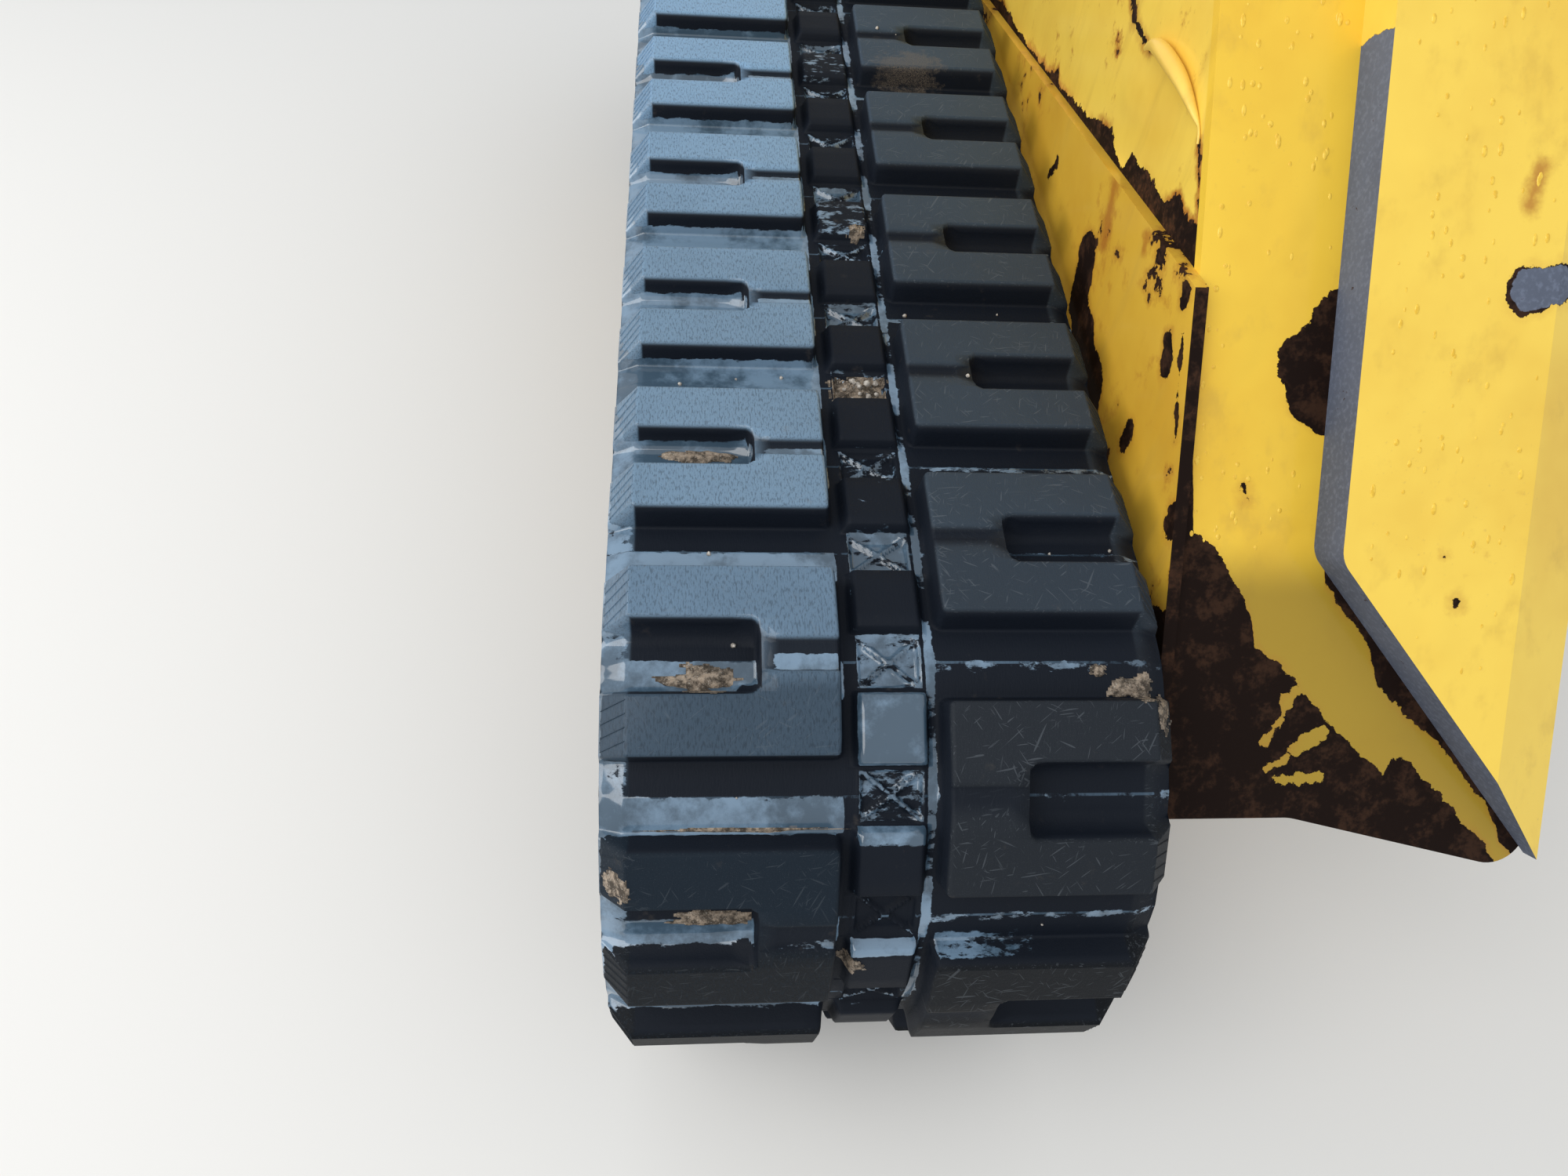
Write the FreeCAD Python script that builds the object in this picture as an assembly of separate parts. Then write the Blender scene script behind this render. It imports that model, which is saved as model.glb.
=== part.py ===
import FreeCAD, Part
import math
import os

# Rubber track undercarriage of a compact track loader, in millimetres
# X runs inboard, Y rearward and Z up; the origin is on the ground under the middle of the box
# In a section, u is measured inboard from the belt's middle plane and r from a wheel's axle

# Driving sizes of the belt
BELT_WIDTH = 400.0
LINKS = 50
LINK_PITCH = 86.0
CARCASS = 26.0
LUG_HEIGHT = 24.0
CORD_DEPTH = 12.0
HORN_IN = 26.0
HORN_OUT = 44.0
HORN_HEIGHT = 42.0

# Driving sizes of the running gear
IDLER_RADIUS = 202.0
IDLER_LIFT = 16.0
TEETH = 15
SPROCKET_LIFT = 120.0
ROLLERS = 5
ROLLER_RADIUS = 85.0
RIM_WIDTH = 42.0
IDLER_GAP = 56.1
SPROCKET_GAP = 17.0
RUN_GAP = 0.5

# Driving sizes of the frame, the side plates and the drive
FRAME_WALL = 12.0
CYLINDER_RADIUS = 26.0
BELT_TO_PLATE = 15.0
PLATE_THICK = 10.0
DOUBLER = 6.0
PAD_THICK = 8.0
MOTOR_LENGTH = 145.0
NOSE_U = 330.0
NOSE_WIDTH = 200.0
NOSE_THICK = 38.0
PIN_GAP = 0.3

# Sizes that follow from the driving ones
HALF_WIDTH = BELT_WIDTH / 2
HALF_PITCH = LINK_PITCH / 2
TREAD = CARCASS + LUG_HEIGHT
PLATE_U = HALF_WIDTH + BELT_TO_PLATE
PLATE_BACK = PLATE_U + PLATE_THICK
BELT_X = -(NOSE_U + NOSE_WIDTH - HALF_WIDTH) / 2
SPROCKET_RADIUS = LINK_PITCH * TEETH / (2 * math.pi) - CORD_DEPTH
IDLER_Z = TREAD + IDLER_RADIUS + IDLER_LIFT
ROLLER_Z = TREAD + ROLLER_RADIUS
SPROCKET_Z = TREAD + SPROCKET_RADIUS + SPROCKET_LIFT
TENSION_Z = ROLLER_Z + ROLLER_RADIUS + CYLINDER_RADIUS + 4
FRAME_TOP = TENSION_Z + CYLINDER_RADIUS + FRAME_WALL + 6
RIM_IN = HORN_OUT + 8
RIM_OUT = RIM_IN + RIM_WIDTH
FRAME_OUT = RIM_OUT + 13 + FRAME_WALL
HORN_CLEAR = HORN_HEIGHT + 6
ROLLER_PIN = 0.235 * ROLLER_RADIUS


def vec(u, y, z):
    return FreeCAD.Vector(BELT_X + u, y, z)


# The belt's loop round wheels given as (y, z, radius of the belt's inner face)
def polar(wheel, radius, angle):
    return wheel[0] + radius * math.cos(angle), wheel[1] + radius * math.sin(angle)


def tangent(one, two, lift):
    """Straight run between two wheels: start, end and outward angle."""
    heading = math.atan2(two[1] - one[1], two[0] - one[0])
    span = math.hypot(two[0] - one[0], two[1] - one[1])
    normal = heading - math.acos((one[2] - two[2]) / span)
    return polar(one, one[2] + lift, normal), polar(two, two[2] + lift, normal), normal


def loop_pieces(wheels, lift):
    """Arc then straight for each wheel, from where the top run meets the front idler."""
    count = len(wheels)
    runs = [tangent(wheels[i], wheels[(i + 1) % count], lift) for i in range(count)]
    pieces = []
    for i, wheel in enumerate(wheels):
        enter = runs[i - 1][2]
        sweep = (runs[i][2] - enter) % (2 * math.pi)
        pieces.append(("arc", (wheel[2] + lift) * sweep, wheel, enter))
        pieces.append(("run", math.dist(runs[i][0], runs[i][1]), runs[i], runs[i][2]))
    return pieces


def wheels_for(span):
    """Idler, first and last roller and sprocket, centred on the origin for a wheel span."""
    idler_y = (IDLER_RADIUS - SPROCKET_RADIUS - span) / 2
    sprocket_y = idler_y + span
    first = idler_y + IDLER_RADIUS + IDLER_GAP + ROLLER_RADIUS
    last = sprocket_y - SPROCKET_RADIUS - SPROCKET_GAP - ROLLER_RADIUS
    return [
        (idler_y, IDLER_Z, IDLER_RADIUS),
        (first, ROLLER_Z, ROLLER_RADIUS),
        (last, ROLLER_Z, ROLLER_RADIUS),
        (sprocket_y, SPROCKET_Z, SPROCKET_RADIUS),
    ]


def solve_span():
    """Distance from idler to sprocket at which the loop takes a whole number of links."""
    low, high = LINKS * LINK_PITCH / 5, LINKS * LINK_PITCH / 2
    while high - low > 1e-6:
        middle = (low + high) / 2
        if sum(piece[1] for piece in loop_pieces(wheels_for(middle), CORD_DEPTH)) > LINKS * LINK_PITCH:
            high = middle
        else:
            low = middle
    return low


WHEELS = wheels_for(solve_span())
PIECES = loop_pieces(WHEELS, CORD_DEPTH)
IDLER_Y = WHEELS[0][0]
SPROCKET_Y = WHEELS[3][0]
ROLLER_STEP = (WHEELS[2][0] - WHEELS[1][0]) / (ROLLERS - 1)
ROLLER_Y = [WHEELS[1][0] + i * ROLLER_STEP for i in range(ROLLERS)]
SLOPE = PIECES[0][3] % (2 * math.pi) - math.pi / 2


def along(distance):
    """Point of the cord line and its outward angle."""
    rest = distance % (LINKS * LINK_PITCH)
    for piece in PIECES:
        if rest <= piece[1]:
            break
        rest -= piece[1]
    if piece[0] == "arc":
        radius = piece[2][2] + CORD_DEPTH
        angle = piece[3] + rest / radius
        y, z = polar(piece[2], radius, angle)
        return y, z, angle
    start, end, normal = piece[2]
    part = rest / piece[1]
    return start[0] + part * (end[0] - start[0]), start[1] + part * (end[1] - start[1]), normal


# The belt's links: each is flat over its core and bends at the knuckle between two cores
FIRST_CORE = 0.14 * LINK_PITCH


def knuckle(index):
    """Corner between two cores, pushed out until both cores' flats clear the wheels."""
    middle = FIRST_CORE + (index + 0.5) * LINK_PITCH
    y, z, angle = along(middle)
    out = (math.cos(angle), math.sin(angle))
    push = 0.0
    for core in (middle - HALF_PITCH, middle + HALF_PITCH):
        core_y, core_z, core_angle = along(core)
        normal = (math.cos(core_angle), math.sin(core_angle))
        behind = normal[0] * (core_y - y) + normal[1] * (core_z - z)
        push = max(push, behind / (normal[0] * out[0] + normal[1] * out[1]))
    return y + push * out[0], z + push * out[1]


KNUCKLES = [knuckle(i) for i in range(LINKS)]


def frame_at(centre, run):
    size = math.hypot(run[0], run[1])
    run = (run[0] / size, run[1] / size)
    return centre, run, (run[1], -run[0])


def link_frame(index):
    """Middle of a link's flat on the cord line, its direction and its outward direction."""
    y0, z0 = KNUCKLES[index - 1]
    y1, z1 = KNUCKLES[index]
    return frame_at(((y0 + y1) / 2, (z0 + z1) / 2), (y1 - y0, z1 - z0))


FRAMES = [link_frame(i) for i in range(LINKS)]


def gap_frame(index):
    """The same at the knuckle between a link and the next one."""
    one = FRAMES[index][1]
    two = FRAMES[(index + 1) % LINKS][1]
    return frame_at(KNUCKLES[index], (one[0] + two[0], one[1] + two[1]))


def belt_ring(depth):
    """Closed outline of the belt, depth outward from its inner face."""
    lift = depth - CORD_DEPTH
    corners = []
    for i, (y, z) in enumerate(KNUCKLES):
        one = FRAMES[i][2]
        two = FRAMES[(i + 1) % LINKS][2]
        scale = lift / (1 + one[0] * two[0] + one[1] * two[1])
        corners.append(vec(-HALF_WIDTH, y + (one[0] + two[0]) * scale, z + (one[1] + two[1]) * scale))
    return Part.Face(Part.makePolygon(corners + corners[:1]))


def on_belt(shape, place, depth):
    """Copy of a shape made in (-u, along, out), set on the belt at a depth from the inner face."""
    centre, run, out = place
    lift = depth - CORD_DEPTH
    at = vec(0, centre[0] + out[0] * lift, centre[1] + out[1] * lift)
    matrix = FreeCAD.Matrix(-1, 0, 0, at.x, 0, run[0], out[0], at.y, 0, run[1], out[1], at.z, 0, 0, 0, 1)
    copy = shape.copy()
    copy.Placement = FreeCAD.Placement(matrix)
    return copy


def tapered(base, top, low, high):
    """Flat-faced block between two (u, along) outlines with parallel sides."""
    lower = [FreeCAD.Vector(-u, s, low) for u, s in base]
    upper = [FreeCAD.Vector(-u, s, high) for u, s in top]
    rings = [lower, upper]
    for i in range(len(base)):
        j = (i + 1) % len(base)
        rings.append([lower[i], lower[j], upper[j], upper[i]])
    faces = [Part.Face(Part.makePolygon(ring + ring[:1])) for ring in rings]
    solid = Part.Solid(Part.Shell(faces))
    solid.fix(0.01, 0.01, 0.01)
    return solid


def rectangle(u0, u1, half):
    return [(u0, -half), (u1, -half), (u1, half), (u0, half)]


# Tread: two columns of lugs, each column's pockets opposite the other's full grooves
COLUMN_IN = 37.0
COLUMN_OUT = HALF_WIDTH - 19
POCKET_IN = COLUMN_IN + 0.37 * (COLUMN_OUT - COLUMN_IN)
BAR_GROOVE = 0.21 * LINK_PITCH
BAR_POCKET = 0.272 * LINK_PITCH
WALL_DRAFT = 3.0


def tread_bar(side, turn):
    """Bar over a core, with the foot that meets the neighbour's foot round a pocket."""
    d = WALL_DRAFT
    top = [
        (COLUMN_IN, -BAR_GROOVE),
        (COLUMN_OUT, -BAR_GROOVE),
        (COLUMN_OUT, BAR_POCKET),
        (POCKET_IN, BAR_POCKET),
        (POCKET_IN, HALF_PITCH),
        (COLUMN_IN, HALF_PITCH),
    ]
    base = [
        (COLUMN_IN - d, -BAR_GROOVE - d),
        (HALF_WIDTH, -BAR_GROOVE - d),
        (HALF_WIDTH, BAR_POCKET + d),
        (POCKET_IN + d, BAR_POCKET + d),
        (POCKET_IN + d, HALF_PITCH),
        (COLUMN_IN - d, HALF_PITCH),
    ]
    top = [(side * u, turn * s) for u, s in top]
    base = [(side * u, turn * s) for u, s in base]
    return tapered(base, top, 0, LUG_HEIGHT)


def centre_pad():
    half = COLUMN_IN - 12
    return tapered(rectangle(-half, half, half + 1), rectangle(3 - half, half - 3, half - 2), 0, 11)


def guide_horn(side):
    tip = rectangle(side * (HORN_IN + 3), side * (HORN_OUT - 3), 0.13 * LINK_PITCH)
    base = rectangle(side * HORN_IN, side * HORN_OUT, 0.24 * LINK_PITCH)
    return tapered(tip, base, -HORN_HEIGHT, 0)


TOOTH_DEPTH = 8.0
TOOTH_HALF = 12.0


def tooth_window():
    outline = rectangle(4 - HORN_IN, HORN_IN - 4, 0.235 * LINK_PITCH)
    return tapered(outline, outline, -10, TOOTH_DEPTH + 5)


def rubber_belt():
    outer = belt_ring(CARCASS).extrude(FreeCAD.Vector(BELT_WIDTH, 0, 0))
    inner = belt_ring(0).extrude(FreeCAD.Vector(BELT_WIDTH, 0, 0))
    added = []
    for i in range(LINKS):
        for side in (-1, 1):
            turn = -side if i % 2 == 0 else side
            added.append(on_belt(tread_bar(side, turn), FRAMES[i], CARCASS))
            added.append(on_belt(guide_horn(side), FRAMES[i], 0))
        added.append(on_belt(centre_pad(), FRAMES[i], CARCASS))
    windows = [on_belt(tooth_window(), gap_frame(i), 0) for i in range(LINKS)]
    return outer.cut(inner).fuse(added).cut(windows)


# Helpers for plates, rods and turned parts
def outline_wire(points, place):
    """Closed outline from (a, b, corner radius) points, where place(a, b) is a point in space."""
    corners = [place(a, b) for a, b, radius in points]
    count = len(points)
    ends = []
    for i, corner in enumerate(corners):
        radius = points[i][2]
        if radius == 0:
            ends.append((corner, None, corner))
            continue
        into = (corners[i - 1] - corner).normalize()
        onto = (corners[(i + 1) % count] - corner).normalize()
        half = into.getAngle(onto) / 2
        reach = radius / math.tan(half)
        middle = (into + onto).normalize() * (radius / math.sin(half) - radius)
        ends.append((corner + into * reach, corner + middle, corner + onto * reach))
    edges = []
    for i, (start, middle, end) in enumerate(ends):
        if middle is not None:
            edges.append(Part.Arc(start, middle, end).toShape())
        edges.append(Part.LineSegment(end, ends[(i + 1) % count][0]).toShape())
    return Part.Wire(edges)


def sheet(points, u0, u1):
    """Flat plate across u0 to u1 from (y, z, corner radius) points."""
    wire = outline_wire(points, lambda y, z: vec(u0, y, z))
    return Part.Face(wire).extrude(FreeCAD.Vector(u1 - u0, 0, 0))


def turned(section, y, z):
    """Solid of revolution about the X line through (y, z) from (u, r) points."""
    wire = Part.makePolygon([vec(u, y, z + r) for u, r in section + section[:1]])
    return Part.Face(wire).revolve(vec(0, y, z), FreeCAD.Vector(1, 0, 0), 360)


def both_sides(half):
    """Whole (u, r) section from its half with positive u, listed from the middle outward."""
    return [(-u, r) for u, r in reversed(half)] + half


def rod(radius, u0, u1, y, z):
    return Part.makeCylinder(radius, u1 - u0, vec(u0, y, z), FreeCAD.Vector(1, 0, 0))


def rod_ring(radius, u0, u1, y, z, circle, count, phase=0.0):
    """Like rods in a circle round (y, z)."""
    places = [polar((y, z), circle, phase + 2 * math.pi * i / count) for i in range(count)]
    return [rod(radius, u0, u1, place[0], place[1]) for place in places]


def box(u0, u1, y0, y1, z0, z1):
    return Part.makeBox(u1 - u0, y1 - y0, z1 - z0, vec(u0, y0, z0))


def length_rod(radius, y0, y1, z):
    return Part.makeCylinder(radius, y1 - y0, vec(0, y0, z), FreeCAD.Vector(0, 1, 0))


# Front idler and its tensioner
AXLE_RADIUS = 27.0
YOKE_IN = RIM_OUT + 7
YOKE_OUT = FRAME_OUT - 6
HEAD_FRONT = IDLER_Y + IDLER_RADIUS + 22
HEAD_BACK = HEAD_FRONT + 30
FRAME_FRONT = HEAD_BACK + 8
CYLINDER_FRONT = FRAME_FRONT + 108
CYLINDER_BACK = CYLINDER_FRONT + 190


def front_idler():
    rim = IDLER_RADIUS - RUN_GAP
    drum = IDLER_RADIUS - HORN_CLEAR - 3
    inside = drum - 15
    half = [
        (HORN_OUT + 3, drum),
        (RIM_IN, rim - 3),
        (RIM_IN + 3, rim),
        (RIM_OUT, rim),
        (RIM_OUT, rim - 20),
        (HORN_OUT + 14, rim - 24),
        (HORN_OUT + 2, inside),
        (14, inside - 4),
        (14, 62),
        (60, 52),
        (60, AXLE_RADIUS + PIN_GAP),
    ]
    wheel = turned(both_sides(half), IDLER_Y, IDLER_Z)
    circle = (inside - 4 + 62) / 2
    return wheel.cut(rod_ring(13, -20, 20, IDLER_Y, IDLER_Z, circle, 6))


def idler_axle():
    axle = rod(AXLE_RADIUS, -YOKE_OUT - 10, YOKE_OUT + 10, IDLER_Y, IDLER_Z)
    flats = []
    for side in (-1, 1):
        u0 = side * (YOKE_OUT + 1)
        u1 = side * (YOKE_OUT + 11)
        flats.append(box(min(u0, u1), max(u0, u1), IDLER_Y - 30, IDLER_Y + 30, IDLER_Z + 19, IDLER_Z + 30))
    return axle.cut(flats)


def idler_yoke():
    """Fork that holds the idler's axle, with the cross head that the tension rod pushes."""
    arm = [
        (IDLER_Y - 46, IDLER_Z - 40, 36),
        (IDLER_Y - 46, IDLER_Z + 40, 36),
        (IDLER_Y + 40, IDLER_Z + 44, 20),
        (HEAD_BACK, TENSION_Z + 26, 6),
        (HEAD_BACK, TENSION_Z - 22, 6),
        (IDLER_Y + 40, IDLER_Z - 44, 20),
    ]
    arms = [sheet(arm, -YOKE_OUT, -YOKE_IN), sheet(arm, YOKE_IN, YOKE_OUT)]
    head = box(-YOKE_IN, YOKE_IN, HEAD_FRONT, HEAD_BACK, TENSION_Z - 22, TENSION_Z + 26)
    boss = length_rod(22, HEAD_BACK, HEAD_BACK + 12, TENSION_Z)
    yoke = head.fuse(arms + [boss])
    return yoke.cut(rod(AXLE_RADIUS + PIN_GAP, -YOKE_OUT - 1, YOKE_OUT + 1, IDLER_Y, IDLER_Z))


def tension_rod():
    return length_rod(14, HEAD_BACK + 12, CYLINDER_FRONT, TENSION_Z)


def tension_cylinder():
    """Grease cylinder with its gland, seated in a cross wall of the frame."""
    body = length_rod(CYLINDER_RADIUS - 4, CYLINDER_FRONT, CYLINDER_BACK, TENSION_Z)
    gland = length_rod(CYLINDER_RADIUS, CYLINDER_FRONT + 6, CYLINDER_FRONT + 36, TENSION_Z)
    inside = FRAME_OUT - FRAME_WALL
    wall = box(-inside, inside, CYLINDER_BACK, CYLINDER_BACK + 16, TENSION_Z - 22, TENSION_Z + 4)
    fill = rod(7, -46, 0, CYLINDER_FRONT + 70, TENSION_Z)
    return body.fuse([gland, wall, fill])


# Rollers
def wheel_section(radius, pin, barrel):
    """Half section of a roller with two rims either side of the belt's horns."""
    rim = radius - RUN_GAP
    return [
        (HORN_OUT + 3, barrel),
        (RIM_IN, rim),
        (RIM_OUT, rim),
        (RIM_OUT, barrel + 14),
        (RIM_OUT + 5, barrel + 9),
        (RIM_OUT + 5, pin + PIN_GAP),
    ]


def track_roller(y):
    half = wheel_section(ROLLER_RADIUS, ROLLER_PIN, ROLLER_RADIUS - HORN_CLEAR)
    return turned(both_sides(half), y, ROLLER_Z)


def roller_shaft(y):
    reach = FRAME_OUT + 8
    collar = ROLLER_PIN + 9
    shaft = rod(ROLLER_PIN, -reach, reach, y, ROLLER_Z)
    inside = FRAME_OUT - FRAME_WALL
    collars = [rod(collar, -inside, -RIM_OUT - 6, y, ROLLER_Z), rod(collar, RIM_OUT + 6, inside, y, ROLLER_Z)]
    return shaft.fuse(collars)


# Track frame: a folded channel with a bearing lug at each roller and scallops between them
FRAME_BACK = ROLLER_Y[-1] + ROLLER_RADIUS + 8
SHOULDER_U = FRAME_OUT - 40
SHOULDER_Z = FRAME_TOP - 34


def channel_wire(inset, y):
    wall = FRAME_OUT - inset
    top = FRAME_TOP - inset
    fold = inset * 0.42
    low = ROLLER_Z - ROLLER_PIN - 30
    points = [
        (-wall, low),
        (-wall, SHOULDER_Z - fold),
        (-SHOULDER_U + fold, top),
        (SHOULDER_U - fold, top),
        (wall, SHOULDER_Z - fold),
        (wall, low),
    ]
    return Part.makePolygon([vec(u, y, z) for u, z in points + points[:1]])


def scallop_cut(y0, y1):
    """Cutter between two bearing lugs, rounded at the top."""
    low = ROLLER_Z - ROLLER_PIN - 40
    high = ROLLER_Z + 42
    points = [
        (y0, low, 0),
        (y0, ROLLER_Z - ROLLER_PIN - 4, 0),
        (y0 + 12, high, 18),
        (y1 - 12, high, 18),
        (y1, ROLLER_Z - ROLLER_PIN - 4, 0),
        (y1, low, 0),
    ]
    return sheet(points, -FRAME_OUT - 1, FRAME_OUT + 1)


def bearing_end(y):
    """Cutter that rounds a bearing lug's lower end."""
    low = ROLLER_Z - ROLLER_PIN - 40
    high = ROLLER_Z - 6
    return [
        sheet([(y + s * 60, low, 0), (y + s * 60, high, 0), (y + s * 38, high, 0), (y + s * 14, low, 0)],
              -FRAME_OUT - 1, FRAME_OUT + 1)
        for s in (-1, 1)
    ]


HATCH_Y = CYLINDER_FRONT + 70
HATCH_Z = TENSION_Z - 8
HATCH_HALF = 20.0


def track_frame():
    run = FreeCAD.Vector(0, FRAME_BACK - FRAME_FRONT, 0)
    outer = Part.Face(channel_wire(0, FRAME_FRONT)).extrude(run)
    inner = Part.Face(channel_wire(FRAME_WALL, FRAME_FRONT)).extrude(run)
    lug = ROLLER_PIN + 22
    cuts = [inner]
    for i in range(ROLLERS - 1):
        cuts.append(scallop_cut(ROLLER_Y[i] + lug, ROLLER_Y[i + 1] - lug))
    cuts.append(scallop_cut(FRAME_FRONT - 60, ROLLER_Y[0] - lug))
    cuts.append(scallop_cut(ROLLER_Y[-1] + lug, FRAME_BACK + 60))
    for y in ROLLER_Y:
        cuts.extend(bearing_end(y))
        cuts.append(rod(ROLLER_PIN + PIN_GAP, -FRAME_OUT - 1, FRAME_OUT + 1, y, ROLLER_Z))
    hatch = [
        (HATCH_Y - HATCH_HALF, HATCH_Z - HATCH_HALF, 8),
        (HATCH_Y - HATCH_HALF, HATCH_Z + HATCH_HALF, 8),
        (HATCH_Y + HATCH_HALF, HATCH_Z + HATCH_HALF, 8),
        (HATCH_Y + HATCH_HALF, HATCH_Z - HATCH_HALF, 8),
    ]
    cuts.append(sheet(hatch, -FRAME_OUT - 1, -FRAME_OUT + FRAME_WALL + 1))
    return outer.cut(cuts)


# Carrier roller under the top run
CARRIER_BARREL = 19.0
CARRIER_PIN = 12.0
CARRIER_RADIUS = CARRIER_BARREL + HORN_CLEAR
CARRIER_Y = (ROLLER_Y[2] + ROLLER_Y[3]) / 2 + 80


def run_height(y):
    """Height of the top run's inner face at a given y."""
    start, end, normal = PIECES[-1][2]
    y0 = end[0] - CORD_DEPTH * math.cos(normal)
    z0 = end[1] - CORD_DEPTH * math.sin(normal)
    return z0 + (y - y0) * math.tan(SLOPE)


CARRIER_Z = run_height(CARRIER_Y) - CARRIER_RADIUS / math.cos(SLOPE)


def carrier_roller():
    half = wheel_section(CARRIER_RADIUS, CARRIER_PIN, CARRIER_BARREL)
    return turned(both_sides(half), CARRIER_Y, CARRIER_Z)


def carrier_shaft():
    reach = RIM_OUT + 24
    return rod(CARRIER_PIN, -reach, reach, CARRIER_Y, CARRIER_Z)


def carrier_bracket():
    post = [
        (CARRIER_Y - 62, SHOULDER_Z, 0),
        (CARRIER_Y - 22, CARRIER_Z - 4, 40),
        (CARRIER_Y - 22, CARRIER_Z + 22, 20),
        (CARRIER_Y + 22, CARRIER_Z + 22, 20),
        (CARRIER_Y + 22, CARRIER_Z - 4, 40),
        (CARRIER_Y + 62, SHOULDER_Z, 0),
    ]
    inner = RIM_OUT + 8
    outer = inner + 10
    foot = box(-outer, outer, CARRIER_Y - 55, CARRIER_Y + 55, FRAME_TOP, FRAME_TOP + 8)
    bracket = foot.fuse([sheet(post, -outer, -inner), sheet(post, inner, outer)])
    run = FreeCAD.Vector(0, FRAME_BACK - FRAME_FRONT, 0)
    seat = Part.Face(channel_wire(0, FRAME_FRONT)).extrude(run)
    hole = rod(CARRIER_PIN + PIN_GAP, -outer - 1, outer + 1, CARRIER_Y, CARRIER_Z)
    return bracket.cut([seat, hole])


# Drive: sprocket, final drive and motor
HUB_RADIUS = SPROCKET_RADIUS - HORN_CLEAR - 15


def tooth_phase():
    """Angle of the knuckle that sits nearest to the sprocket's rear, where a tooth goes."""
    angles = [math.atan2(z - SPROCKET_Z, y - SPROCKET_Y) for y, z in KNUCKLES if y > SPROCKET_Y]
    return min(angles, key=abs)


def sprocket_outline():
    root = SPROCKET_RADIUS - 24
    tip = SPROCKET_RADIUS + TOOTH_DEPTH
    step = 2 * math.pi / TEETH
    foot = 21.0 / root
    crest = 10.0 / tip
    centre = (SPROCKET_Y, SPROCKET_Z)
    edges = []
    for i in range(TEETH):
        angle = tooth_phase() + i * step
        foot_in = vec(-TOOTH_HALF, *polar(centre, root, angle - foot))
        tip_in = vec(-TOOTH_HALF, *polar(centre, tip - 2, angle - crest))
        top = vec(-TOOTH_HALF, *polar(centre, tip, angle))
        tip_out = vec(-TOOTH_HALF, *polar(centre, tip - 2, angle + crest))
        foot_out = vec(-TOOTH_HALF, *polar(centre, root, angle + foot))
        valley = vec(-TOOTH_HALF, *polar(centre, root - 7, angle + step / 2))
        foot_next = vec(-TOOTH_HALF, *polar(centre, root, angle + step - foot))
        edges.append(Part.LineSegment(foot_in, tip_in).toShape())
        edges.append(Part.Arc(tip_in, top, tip_out).toShape())
        edges.append(Part.LineSegment(tip_out, foot_out).toShape())
        edges.append(Part.Arc(foot_out, valley, foot_next).toShape())
    return Part.Wire(edges)


def drive_sprocket():
    ring = Part.Face(sprocket_outline()).extrude(FreeCAD.Vector(2 * TOOTH_HALF, 0, 0))
    bore = rod(HUB_RADIUS - 38, -20, 20, SPROCKET_Y, SPROCKET_Z)
    slots = rod_ring(9, -20, 20, SPROCKET_Y, SPROCKET_Z, HUB_RADIUS + 18, TEETH // 3 * 2)
    return ring.cut([bore] + slots)


def drive_hub():
    """Turning drum that carries the sprocket, and the fixed end bolted to the side plate."""
    section = [
        (-TOOTH_HALF - 14, 0),
        (-TOOTH_HALF - 14, HUB_RADIUS - 39),
        (TOOTH_HALF, HUB_RADIUS - 39),
        (TOOTH_HALF, HUB_RADIUS),
        (TOOTH_HALF + 18, HUB_RADIUS),
        (TOOTH_HALF + 22, HUB_RADIUS - 16),
        (PLATE_U - 76, HUB_RADIUS - 16),
        (PLATE_U - 70, HUB_RADIUS - 34),
        (PLATE_U - 26, HUB_RADIUS - 34),
        (PLATE_U - 18, HUB_RADIUS - 6),
        (PLATE_U, HUB_RADIUS - 6),
        (PLATE_U, 0),
    ]
    return turned(section, SPROCKET_Y, SPROCKET_Z)


def hub_cover():
    base = -TOOTH_HALF - 14
    section = [
        (base, 0),
        (base, HUB_RADIUS - 28),
        (base - 10, HUB_RADIUS - 28),
        (base - 14, HUB_RADIUS - 44),
        (base - 40, HUB_RADIUS - 56),
        (base - 50, HUB_RADIUS - 76),
        (base - 52, 0),
    ]
    cover = turned(section, SPROCKET_Y, SPROCKET_Z)
    bosses = rod_ring(11, base - 16, base, SPROCKET_Y, SPROCKET_Z, HUB_RADIUS - 39, 8)
    plug = rod(12, base - 46, base - 34, SPROCKET_Y + 38, SPROCKET_Z)
    return cover.fuse(bosses + [plug])


PORT_RADIUS = 9.0
PORT_SPREAD = 44.0


def drive_motor():
    u = PLATE_BACK
    end = u + MOTOR_LENGTH
    section = [(u, 0), (u, 74), (u + 16, 74), (u + 20, 57), (end - 62, 52), (end - 54, 38), (end - 54, 0)]
    body = turned(section, SPROCKET_Y, SPROCKET_Z)
    block = [
        (SPROCKET_Y - 36, SPROCKET_Z - 46, 10),
        (SPROCKET_Y - 36, SPROCKET_Z + 46, 10),
        (SPROCKET_Y + 36, SPROCKET_Z + 46, 10),
        (SPROCKET_Y + 36, SPROCKET_Z - 46, 10),
    ]
    ears = box(u, u + 16, SPROCKET_Y - 96, SPROCKET_Y + 96, SPROCKET_Z - 26, SPROCKET_Z + 26)
    motor = body.fuse([sheet(block, end - 80, end), ears])
    ports = []
    for side in (-1, 1):
        ports.append(rod(PORT_RADIUS, end - 20, end + 1, SPROCKET_Y, SPROCKET_Z + side * PORT_SPREAD / 2))
    return motor.cut(ports)


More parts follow.
